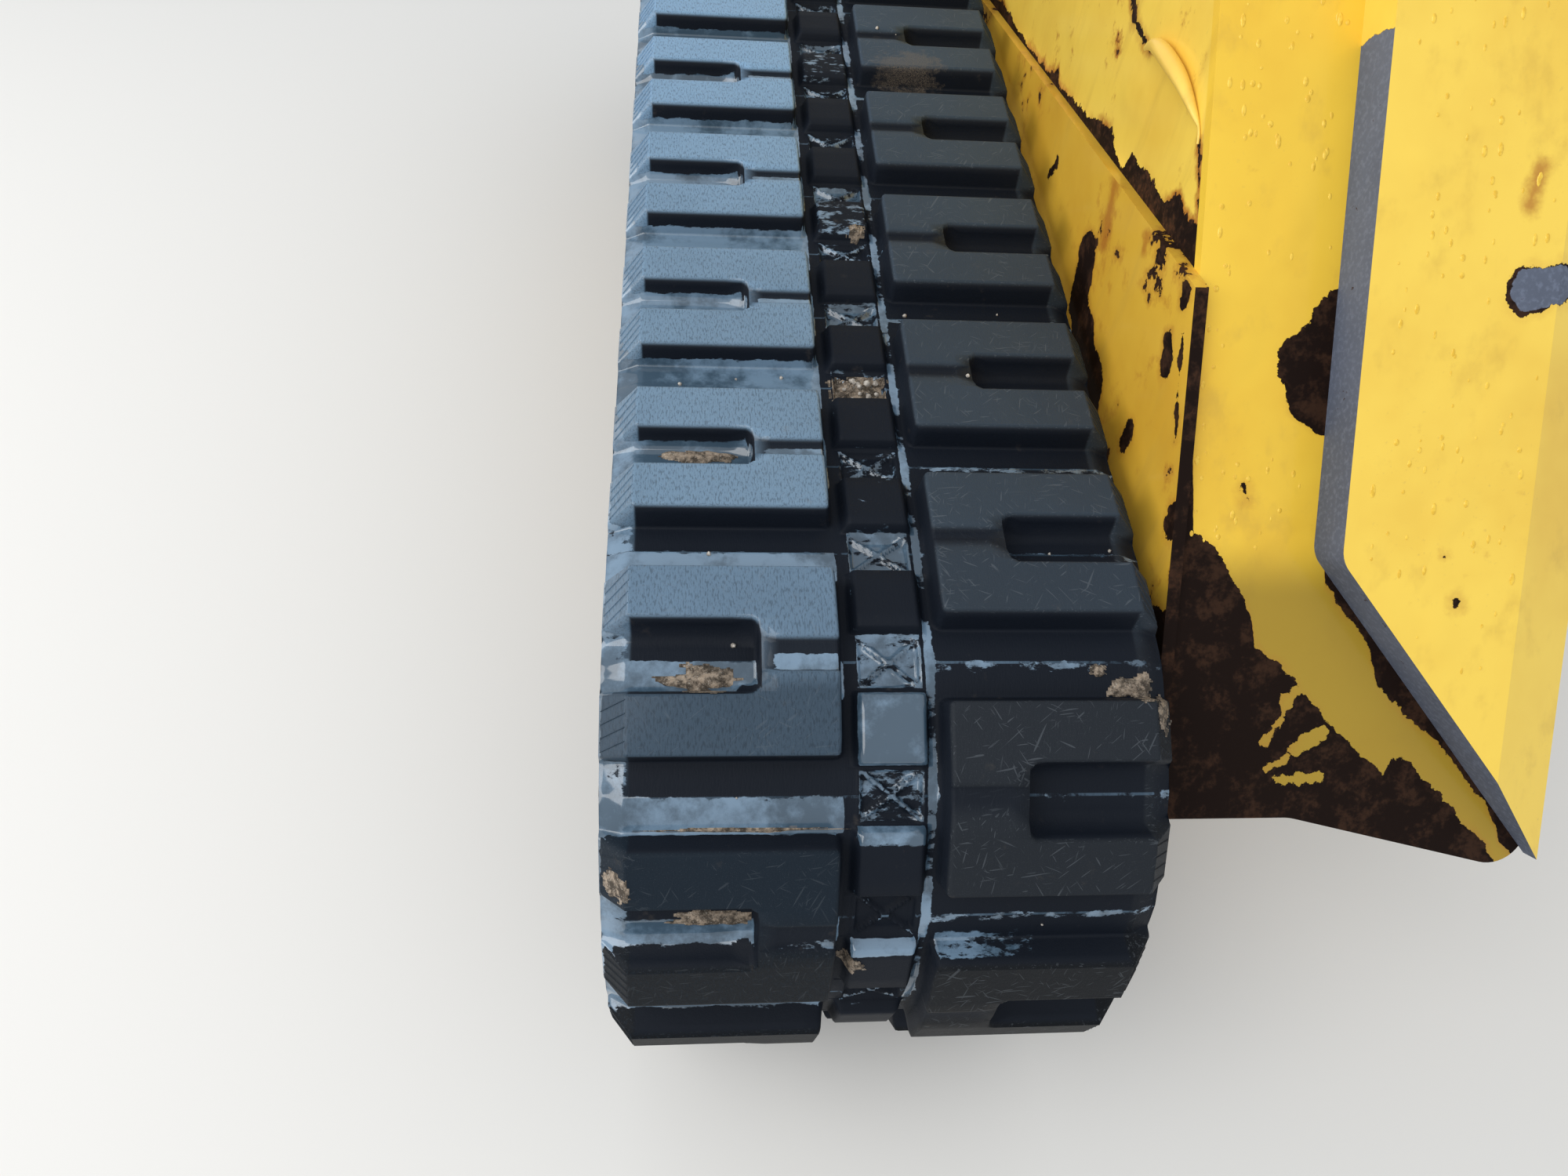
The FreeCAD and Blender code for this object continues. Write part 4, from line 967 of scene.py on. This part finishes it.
# Belt
def build_belt(material):
    pieces = [
        tread_column("tread_outboard", -HALF_WIDTH, -CENTRE_HALF),
        tread_centre(),
        tread_column("tread_inboard", CENTRE_HALF, HALF_WIDTH),
        belt_side("belt_side_outboard", -1),
        belt_side("belt_side_inboard", 1),
        belt_inside(),
    ]
    for piece in pieces:
        piece.data.materials.append(material)
        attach(piece, "undercarriage")
        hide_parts("rubber_belt")


# Small pieces that only the scene has
def finish_piece(piece, material, sharp=0.7):
    """Material, body and slot of a small piece, with its loose points taken off."""
    piece.data.materials.append(material)
    mesh = bmesh.new()
    mesh.from_mesh(piece.data)
    bmesh.ops.delete(mesh, geom=[v for v in mesh.verts if not v.link_faces], context="VERTS")
    bmesh.ops.recalc_face_normals(mesh, faces=mesh.faces)
    mesh.to_mesh(piece.data)
    mesh.free()
    piece.data.set_sharp_from_angle(angle=sharp)
    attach(piece, "undercarriage")


def turns(count):
    return [2 * math.pi * k / count for k in range(count)]


def ways_round(axis, count):
    """Unit directions evenly round an axis."""
    across = axis.orthogonal().normalized()
    other = axis.cross(across)
    return [across * math.cos(v) + other * math.sin(v) for v in turns(count)]


class Shapes:
    """Points and faces gathered from many small shapes into one mesh."""

    def __init__(self):
        self.points = []
        self.faces = []

    def add(self, points, faces):
        first = len(self.points)
        self.points.extend(tuple(p) for p in points)
        self.faces.extend([first + i for i in face] for face in faces)

    def tube(self, rings):
        """Closed skin over rings of equally many points."""
        count = len(rings[0])
        last = (len(rings) - 1) * count
        faces = [list(range(count))[::-1], [last + k for k in range(count)]]
        for base in range(0, last, count):
            for k in range(count):
                after = base + (k + 1) % count
                faces.append([base + k, after, after + count, base + count + k])
        self.add([p for ring in rings for p in ring], faces)

    def turned(self, place, axis, sides, profile):
        """Prism or turned shape along an axis from (height, radius) steps."""
        ways = ways_round(axis, sides)
        self.tube([[place + axis * height + way * radius for way in ways] for height, radius in profile])

    def bolt(self, place, axis, radius):
        """Hexagon head on a washer."""
        low, high, top = radius * 0.2, radius * 0.8, radius * 0.95
        self.turned(place, axis, 20, [(0, radius * 1.25), (low, radius * 1.25)])
        self.turned(place, axis, 6, [(low, radius), (high, radius), (top, radius * 0.85)])

    def bead(self, route, radius, step=2.5 * MM):
        """Weld bead with overlapping ripples along a route of points."""
        for start, end in zip(route, route[1:]):
            run = (end - start).normalized()
            ways = ways_round(run, 8)
            count = max(4, int((end - start).length / step))
            rings = []
            for k in range(count + 1):
                swell = radius * (1.08 if k % 2 else 0.86)
                at = start + run * ((end - start).length * k / count)
                rings.append([at + way * swell for way in ways])
            self.tube(rings)

    def finish(self, name, material, sharp=0.7):
        finish_piece(mesh_object(name, self.points, self.faces), material, sharp)


RIDGE_STEP = 9 * MM
RIDGE_SLANT = 7 * MM
RIDGE_PROFILE = [(-0.8 * MM, -0.8 * MM), (0, 1.1 * MM), (0.8 * MM, -0.8 * MM)]
RIDGES = 4


def build_ridges(material):
    """Fine slanting ridges across the bevelled outer ends of the lugs."""
    shapes = Shapes()
    for link in range(LINKS):
        for side in (-1, 1):
            first = -GROOVE if (link + (side > 0)) % 2 == 0 else -POCKET
            for k in range(RIDGES):
                rings = []
                for share in (0.0, 0.5, 1.0):
                    u = COLUMN_OUT + 0.5 * MM + share * (HALF_WIDTH - COLUMN_OUT - 1.5 * MM)
                    at = link * PITCH + (first + 4 * MM + k * RIDGE_STEP) + share * RIDGE_SLANT
                    base = CARCASS + LUG * (HALF_WIDTH - u) / (HALF_WIDTH - COLUMN_OUT)
                    rings.append([(side * u, at + step, base + rise) for step, rise in RIDGE_PROFILE])
                shapes.tube(rings)
    flat = np.array(shapes.points)
    piece = belt_mesh("lug_end_ridges", flat, shapes.faces, np.zeros(len(flat)))
    finish_piece(piece, material)


# Mud: u, s, half sizes, height and how square its outline is, lengths in millimetres
MUD = [
    (0, -214, 24, 16, 3.0, 5), (-132, -137, 30, 7, 4.0, 2), (-131, 54, 27, 9, 5.0, 2),
    (173, 59, 17, 9, 3.5, 2), (190, 77, 9, 14, 3.0, 2), (150, 48, 6, 4, 3.0, 2), (-122, 213, 30, 6, 4.0, 2),
    (12, -410, 8, 7, 4.0, 2), (-187, 181, 10, 10, 2.5, 2), (-22, 252, 9, 8, 3.0, 2),
    (-85, 283, 22, 6, 3.0, 2), (-105, 149, 62, 1.8, 0.8, 2), (-100, -388, 50, 3, 1.5, 2),
    (125, -203, 28, 3, 1.5, 2), (60, 560, 26, 10, 4.0, 2), (-90, 730, 24, 9, 4.0, 2),
    (100, 1118, 30, 9, 4.0, 2), (-100, 1419, 24, 8, 4.0, 2), (80, 1806, 26, 9, 4.0, 2),
    (0, 2279, 14, 9, 3.0, 2), (-100, 2623, 26, 9, 4.0, 2), (20, 3000, 12, 10, 3.0, 2),
]
MUD_SKIN = 0.25 * MM
MUD_UNDER = 1.2 * MM
FLOOR_MUD_FROM = 500
WAVE_SIZES = (1.0, 1.0, 1.9, 2.3, 3.7, 5.1)


def ripple(x, y, seed):
    """Smooth random field, roughly between -1 and 1, from summed waves; x and y in waves' units."""
    draw = np.random.default_rng(seed)
    total = np.zeros_like(x)
    for size in WAVE_SIZES:
        angle, phase = draw.uniform(0, 2 * math.pi, 2)
        ahead = x * math.cos(angle) + y * math.sin(angle)
        total = total + np.sin(ahead * 2 * math.pi * size + phase) / size ** 0.7
    return total / 3.2


def crust_faces(cells):
    """Faces of a closed crust over a grid's kept cells; its upper points come before its lower ones."""
    rows, columns = cells.shape[0] + 1, cells.shape[1] + 1
    number = np.arange(rows * columns).reshape(rows, columns)
    framed = np.pad(cells, 1)
    faces = []
    for i, j in zip(*np.nonzero(cells)):
        ring = [number[i, j], number[i + 1, j], number[i + 1, j + 1], number[i, j + 1]]
        faces.append(ring)
        beside_cell = [framed[i + 1, j], framed[i + 2, j + 1], framed[i + 1, j + 2], framed[i, j + 1]]
        for k, closed in enumerate(beside_cell):
            if not closed:
                one, two = ring[k], ring[(k + 1) % 4]
                faces.append([two, one, one + number.size, two + number.size])
        faces.append([v + number.size for v in reversed(ring)])
    return faces


def build_mud(material):
    """Patches of caked mud with ragged rims, lying on the belt's relief."""
    shapes = Shapes()
    x, y = np.meshgrid(np.linspace(-1.25, 1.25, 30), np.linspace(-1.25, 1.25, 22), indexing="ij")
    for index, (u, s, half_u, half_s, high, power) in enumerate(MUD):
        mask = 1 - (np.abs(x) ** power + np.abs(y) ** power) ** (1 / power)
        mask = mask + 0.9 / power * ripple(x * 0.8, y * 0.8, 40 + index)
        lump = 0.65 + 0.35 * ripple(x * 1.7, y * 1.7, 90 + index)
        rise = high * MM * smooth(0.0, 0.7, mask) * lump
        grid_u, grid_s = (u + x * half_u) * MM, (s + y * half_s) * MM
        over = outer_depth(grid_u, grid_s)
        if s > FLOOR_MUD_FROM:
            mask = np.where(over > CARCASS + LUG / 2, -1.0, mask)
        upper = on_belt(grid_u, grid_s, over + rise + MUD_SKIN * (mask > 0))
        lower = on_belt(grid_u, grid_s, over - MUD_UNDER)
        keep = mask > -0.05
        cells = keep[:-1, :-1] & keep[1:, :-1] & keep[:-1, 1:] & keep[1:, 1:]
        shapes.add(np.concatenate([upper.reshape(-1, 3), lower.reshape(-1, 3)]), crust_faces(cells))
    shapes.finish("caked_mud", material, 1.2)


STRAY_STONES = 110
CELL_STONES = 14
STONE_RINGS = 5
STONE_SIDES = 7


def build_pebbles(material):
    """Small stones caught in the tread, some on the mud that fills one cell of the middle strip."""
    draw = np.random.default_rng(7)
    shapes = Shapes()
    for index in range(STRAY_STONES + CELL_STONES):
        gap = draw.integers(-9, 40)
        side = draw.choice([-1, 1])
        u = side * draw.uniform(COLUMN_IN + 8 * MM, HALF_WIDTH - 14 * MM)
        s = (gap + 0.5) * PITCH + draw.uniform(-12, 12) * MM
        radius = draw.uniform(0.7, 2.0) * MM
        on_mud = index >= STRAY_STONES
        if on_mud:
            u, s = draw.uniform(-14, 18) * MM, draw.uniform(-226, -203) * MM
            radius = draw.uniform(1.5, 3.2) * MM
        u, s = np.array([u]), np.array([s])
        centre = Vector(on_belt(u, s, outer_depth(u, s) + radius * 0.4 + (3 * MM if on_mud else 0))[0])
        wobble = draw.uniform(0.75, 1.15, (STONE_RINGS, STONE_SIDES))
        rings = []
        for i in range(STONE_RINGS):
            tilt = math.pi * (i + 0.6) / 5.2
            wide, high = math.sin(tilt), math.cos(tilt)
            ways = [Vector((wide * math.cos(v), wide * math.sin(v), high)) for v in turns(STONE_SIDES)]
            rings.append([centre + way * radius * wobble[i, k] for k, way in enumerate(ways)])
        shapes.tube(rings)
    shapes.finish("tread_pebbles", material, 1.0)


def smooth_route(places, steps):
    """Rounder route through places, with so many steps from each to the next."""
    route = []
    last = len(places) - 1
    for k in range(last):
        before, one, two, after = [places[min(max(k + i, 0), last)] for i in (-1, 0, 1, 2)]
        slope = two - before
        bend = 2 * before - 5 * one + 4 * two - after
        twist = 3 * one - before - 3 * two + after
        for j in range(steps):
            t = j / steps
            route.append(0.5 * (2 * one + slope * t + bend * t ** 2 + twist * t ** 3))
    return route + [places[-1]]


CURL_TURN = 1.25 * math.pi


def build_curl(material):
    """Loose edge of paint that has peeled and rolled up on the upper plate."""
    route = smooth_route([beside_run(a, b, PLATE_BACK) for a, b in CURL], 5)
    last = len(route) - 1
    rings = []
    for k, place in enumerate(route):
        side = (route[min(k + 1, last)] - route[max(k - 1, 0)]).normalized().cross(INBOARD)
        share = k / last
        swell = math.sin(math.pi * min(1.0, share * 1.15 + 0.05)) ** 0.8 * (1 - share) ** 0.25
        radius = (1.0 + 6.5 * swell) * MM
        angles = [CURL_TURN * j / 8 for j in range(9)]
        ways = [side * math.sin(v) - INBOARD * (1 - math.cos(v)) for v in angles]
        outer = [place + way * radius for way in ways]
        inner = [place + way * radius * 0.86 - INBOARD * 0.4 * MM for way in ways]
        rings.append(outer + inner[::-1])
    shapes = Shapes()
    shapes.tube(rings)
    shapes.finish("paint_curl", material, 1.2)


# Drops: range of u and of s in millimetres, metres off the nose's plane, and how many
DROP_FIELDS = [((232, 322), (60, 470), 0.0, 110), ((342, 464), (-40, 470), NOSE_THICK, 110)]
DROP_PROFILE = [(1.0, -0.05), (0.9, 0.10), (0.6, 0.22), (0.22, 0.27)]


def off_paint(u, s, on_plate):
    """Whether a place in millimetres, on the front wall or the nose plate, is on or past a bare mark."""
    if on_plate:
        return s < 75 - 1.2 * (u - 330) or (u > 430 and 230 < s < 275)
    return u > 250 and 130 < s < 270


def build_drops(material):
    """Rain drops standing on the yellow plates."""
    draw = np.random.default_rng(11)
    shapes = Shapes()
    for span_u, span_s, off, count in DROP_FIELDS:
        for index in range(count):
            u, s = draw.uniform(*span_u), draw.uniform(*span_s)
            radius = draw.uniform(0.8, 2.2) * MM
            if off_paint(u, s, off > 0):
                continue
            centre = on_nose(u, s, off)
            long = draw.uniform(1.1, 2.6)
            ways = [INBOARD * math.cos(v) + SLANT_RUN * (long * math.sin(v)) for v in turns(10)]
            shapes.tube([[centre + way * (radius * share) + SLANT_OUT * (radius * height) for way in ways]
                         for share, height in DROP_PROFILE])
    shapes.finish("rain_drops", material, 1.5)


# Bolts, plugs and welds: plain numbers are millimetres from the belt's middle plane, an axle or the nose
COVER_FACE = -42
COVER_CIRCLE = 91.3
RING_FACE = -12
RING_CIRCLE = 114.3
FLANGE_CIRCLE = 112.0
DRIVE_BOLT = 8 * MM
EAR_BOLT = 10 * MM
SMALL_BOLT = 5 * MM
SEAT_BOLT = 6 * MM
EAR_FACE = 241
EAR_REACH = 80
END_FACE = 370
END_BOLT = (26, 37)
KEEPER_BOLT = (11, 28)
SEAT_BOLT_Y = -8
SEAT_BOLTS_Z = (-14, 2)
FRAME_FACE = 119
YOKE_FACE = 113
KEEPER_THICK = 6
KEEPER = [(-19, 20), (19, 20), (19, 33), (16, 36), (-16, 36), (-19, 33)]
STUB_FACE = -46
STUB_BEHIND = 70 * MM
FITTING = [(5, 3.6), (8, 3.6), (9, 2.6), (11, 2.4), (12, 3.2), (13.5, 3.4), (15, 2.4), (15.6, 1.0)]
TUBE_HALF = 38 * MM
BRACKET_FOOT = 55 * MM
BRACKET_HALF = 78
WALL_BACK = -10 * MM
RIB_END = 488
WALL_SEAMS = [(0, -150, 195), (6, 200, 485)]
RIB_SEAMS = (-60, -50, 300, 310)
TUBE_FLANGE = 205
BEAD = 4 * MM
THIN_BEAD = 3.5 * MM


def beside(u, place, y=0.0, z=0.0):
    """Place u inboard of the belt's middle plane, y and z from another place, all in millimetres."""
    return Vector((BELT_X + u * MM, place.y + y * MM, place.z + z * MM))


def bolt_ring(shapes, u, axis, circle, count, turn=0.0):
    for v in turns(count):
        at = beside(u, SPROCKET, circle * math.cos(turn + v), circle * math.sin(turn + v))
        shapes.bolt(at, axis, DRIVE_BOLT)


def build_bolts(material):
    """Bolt heads of the drive, the axle keepers and the grease cylinder's seat."""
    shapes = Shapes()
    bolt_ring(shapes, COVER_FACE, -INBOARD, COVER_CIRCLE, 8)
    bolt_ring(shapes, RING_FACE, -INBOARD, RING_CIRCLE, 10)
    bolt_ring(shapes, PLATE_BACK, INBOARD, FLANGE_CIRCLE, 8, math.pi / 8)
    seat = middle("tension_cylinder")
    seat.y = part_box("tension_cylinder")[1].y
    for side in (-1, 1):
        shapes.bolt(beside(EAR_FACE, SPROCKET, side * EAR_REACH), INBOARD, EAR_BOLT)
        for end in (-1, 1):
            at = beside(END_FACE, SPROCKET, side * END_BOLT[0], end * END_BOLT[1])
            shapes.bolt(at, INBOARD, SMALL_BOLT)
        for end in (-1, 1):
            at = beside(side * (YOKE_FACE + KEEPER_THICK), IDLER, end * KEEPER_BOLT[0], KEEPER_BOLT[1])
            shapes.bolt(at, INBOARD * side, SMALL_BOLT)
        for z in SEAT_BOLTS_Z:
            shapes.bolt(beside(side * FRAME_FACE, seat, SEAT_BOLT_Y, z), INBOARD * side, SEAT_BOLT)
    shapes.finish("bolt_heads", material, 0.5)


def build_end_plugs(material):
    """Plugs in the ends of the roller and carrier shafts, and the keepers of the idler's axle."""
    shapes = Shapes()
    for name in ROLLER_SHAFTS + ["carrier_shaft"]:
        low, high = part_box(name)
        centre = (low + high) / 2
        radius = 0.30 * (high.z - low.z)
        washer = [(0, radius * 1.25), (1.5 * MM, radius * 1.25), (2 * MM, radius)]
        head = [(2 * MM, radius * 0.8), (7 * MM, radius * 0.8), (8 * MM, radius * 0.7)]
        for side, x in ((-1, low.x), (1, high.x)):
            place = Vector((x, centre.y, centre.z))
            shapes.turned(place, INBOARD * side, 24, washer)
            shapes.turned(place, INBOARD * side, 6, head)
    for side in (-1, 1):
        faces = (side * YOKE_FACE, side * (YOKE_FACE + KEEPER_THICK))
        shapes.tube([[beside(u, IDLER, y, z) for y, z in KEEPER] for u in faces])
    shapes.finish("shaft_plugs", material, 0.5)


def build_grease_fitting(material):
    """Ball-ended fitting on the cylinder's fill stub, behind the lid."""
    stub = beside(STUB_FACE, middle("tension_rod"))
    stub.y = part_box("tension_cylinder")[0].y + STUB_BEHIND
    shapes = Shapes()
    shapes.turned(stub, -INBOARD, 6, [(0, 5.5 * MM), (5 * MM, 5.5 * MM)])
    shapes.turned(stub, -INBOARD, 20, [(height * MM, radius * MM) for height, radius in FITTING])
    shapes.finish("grease_fitting", material, 0.6)


def corners_of(u, low, high):
    """Closed route round a box's outline, u inboard of the belt's middle plane."""
    corners = [(low.y, low.z), (low.y, high.z), (high.y, high.z), (high.y, low.z), (low.y, low.z)]
    return [Vector((BELT_X + u * MM, y, z)) for y, z in corners]


def build_welds(material):
    """Weld beads where plates, tubes, ribs and brackets meet."""
    shapes = Shapes()
    for inset, low_s, high_s in WALL_SEAMS:
        u = PLATE_BACK + inset
        shapes.bead([on_nose(u, low_s, WALL_BACK), on_nose(u, high_s, WALL_BACK)], BEAD)
    for s in RIB_SEAMS:
        shapes.bead([on_nose(PLATE_BACK + 8, s, WALL_BACK), on_nose(RIB_END, s, WALL_BACK)], THIN_BEAD)
    for name in ("front_cross_tube", "rear_cross_tube"):
        low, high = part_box(name)
        half = Vector((0, TUBE_HALF, TUBE_HALF))
        centre = Vector((0, (low.y + high.y) / 2, low.z + TUBE_HALF))
        shapes.bead(corners_of(FRAME_FACE, centre - half, centre + half), BEAD)
        shapes.bead(corners_of(TUBE_FLANGE, centre - half, centre + half), THIN_BEAD)
        shapes.bead(corners_of(PLATE_U, low, high), THIN_BEAD)
    shapes.bead(corners_of(PLATE_BACK, *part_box("mounting_pad")), THIN_BEAD)
    foot = Vector((0, middle("carrier_shaft").y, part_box("track_frame")[1].z))
    for y in (-BRACKET_FOOT, BRACKET_FOOT):
        at = foot + Vector((0, y, 0))
        shapes.bead([beside(-BRACKET_HALF, at), beside(BRACKET_HALF, at)], BEAD)
    shapes.finish("weld_beads", material, 1.5)


# The frame's own pieces by their finish
ROLLER_SHAFTS = ["roller_shaft_%d" % k for k in range(1, ROLLERS + 1)]
TRACK_ROLLERS = ["track_roller_%d" % k for k in range(1, ROLLERS + 1)]
CAST = ["front_idler", "carrier_roller", "drive_sprocket"] + TRACK_ROLLERS
WORN = ["idler_axle", "tension_rod", "carrier_shaft", "lid_bolt"] + ROLLER_SHAFTS
DARK = ["idler_yoke", "tension_cylinder", "drive_hub", "drive_motor"]
PLAIN_YELLOW = [
    "track_frame", "carrier_bracket", "hub_cover", "mounting_pad", "front_cross_tube", "rear_cross_tube",
]


def dress(names, material):
    for name in names:
        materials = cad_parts[name].data.materials
        materials.clear()
        materials.append(material)


# Stage, lamps and camera
FLOOR_HALF = 30.0
FLOOR_COLOUR = (0.74, 0.72, 0.69)
SKY_LIGHT = (0.90, 0.95, 1.0)
BACKDROP = (0.72, 0.73, 0.74)
SKY_STRENGTH = 0.85
LAMPS = [
    ("key", (-1.9, -2.0, 3.0), (0.0, -0.5, 0.4), (2.6, 2.6), 55, (1.0, 0.98, 0.95)),
    ("side", (-3.2, -0.3, 1.5), (0.0, -0.3, 0.6), (2.4, 1.6), 34, (1.0, 0.99, 0.97)),
]
IMAGE_WIDTH = 2000
FOCAL_PIXELS = 1397.9
CAMERA_PLACE = Vector((BELT_X - 137.3 * MM, IDLER.y - 499.8 * MM, IDLER.z + 847.2 * MM))
PITCH_DOWN = 51.55
YAW = -7.70
ROLL = 6.35


def build_stage():
    z = CAD_BOX[0][2]
    corners = [(-FLOOR_HALF, -FLOOR_HALF, z), (FLOOR_HALF, -FLOOR_HALF, z), (FLOOR_HALF, FLOOR_HALF, z),
               (-FLOOR_HALF, FLOOR_HALF, z)]
    floor = mesh_object("floor", corners, [(0, 1, 2, 3)])
    looks = {"Base Color": FLOOR_COLOUR, "Roughness": 0.8, "Specular IOR Level": 0.1}
    floor.data.materials.append(Surface("pale_floor").give(looks))


def area_light(name, place, aim, size, power, colour):
    light = bpy.data.lights.new(name, "AREA")
    light.shape = "RECTANGLE"
    light.size, light.size_y = size
    light.energy = power
    light.color = colour
    obj = bpy.data.objects.new(name, light)
    obj.location = place
    obj.rotation_euler = (Vector(aim) - Vector(place)).to_track_quat("-Z", "Y").to_euler()
    bpy.context.scene.collection.objects.link(obj)


def build_lights():
    """Pale backdrop where the camera, a reflection or glass looks, sky light elsewhere, and two lamps."""
    world = bpy.data.worlds.new("studio")
    bpy.context.scene.world = world
    g = Graph(world)
    rays = g.node("LightPath", {}).node.outputs
    seen = g.most(rays["Is Camera Ray"], rays["Is Glossy Ray"], rays["Is Transmission Ray"])
    background = g.nodes["Background"].inputs
    g.put(background["Strength"], SKY_STRENGTH)
    g.put(background["Color"], g.mix(seen, SKY_LIGHT, BACKDROP))
    for lamp in LAMPS:
        area_light(*lamp)


def build_camera():
    camera = bpy.data.cameras.new("camera")
    camera.sensor_width = 36.0
    camera.lens = camera.sensor_width * FOCAL_PIXELS / IMAGE_WIDTH
    camera.clip_start = 0.02
    yaw, tilt, roll = (math.radians(v) for v in (YAW, 90 - PITCH_DOWN, ROLL))
    turn = Matrix.Rotation(yaw, 4, "Z") @ Matrix.Rotation(tilt, 4, "X") @ Matrix.Rotation(roll, 4, "Z")
    obj = bpy.data.objects.new("camera", camera)
    obj.matrix_world = Matrix.Translation(CAMERA_PLACE) @ turn
    bpy.context.scene.collection.objects.link(obj)
    bpy.context.scene.camera = obj


RUBBER = rubber_material()
build_belt(RUBBER)
build_ridges(RUBBER)
build_mud(mud_material())
build_pebbles(stone_material())
build_curl(flaked_paint("curled_yellow", HIGHLIT_CURL_YELLOW, 0.0))
build_drops(drop_material())
HEADS = metal_material("bolt_steel")
build_bolts(HEADS)
build_end_plugs(HEADS)
build_grease_fitting(HEADS)
build_welds(flaked_paint("weld_yellow", SHADED_YELLOW, 0.14, grime=0.8))
dress(PLAIN_YELLOW, flaked_paint("flaked_yellow", YELLOW, 0.17, grime=0.85))
dress(["access_lid"], flaked_paint("lid_yellow", SHADED_YELLOW, 0.18, grime=0.6))
dress(["side_plate_lower"], flaked_paint("lower_plate_yellow", SHADED_YELLOW, 0.15, lower_bare,
                                        stain=lower_stain, grime=0.7))
dress(["side_plate_upper"], flaked_paint("upper_plate_yellow", LIT_YELLOW, 0.08, upper_bare, fringed=1.0))
dress(["front_wall"], flaked_paint("wall_yellow", YELLOW, 0.02, wall_bare, shade=wall_shade, fringed=0.3))
dress(["nose_plate"], flaked_paint("nose_yellow", LIT_YELLOW, 0.0, nose_bare, nose_steel, nose_stain,
                                   fringed=0.3))
dress(CAST, metal_material("cast_iron"))
dress(WORN, metal_material("worn_steel"))
dress(DARK, metal_material("dark_paint"))
build_stage()
build_lights()
build_camera()
bpy.context.scene.view_settings.view_transform = "Standard"
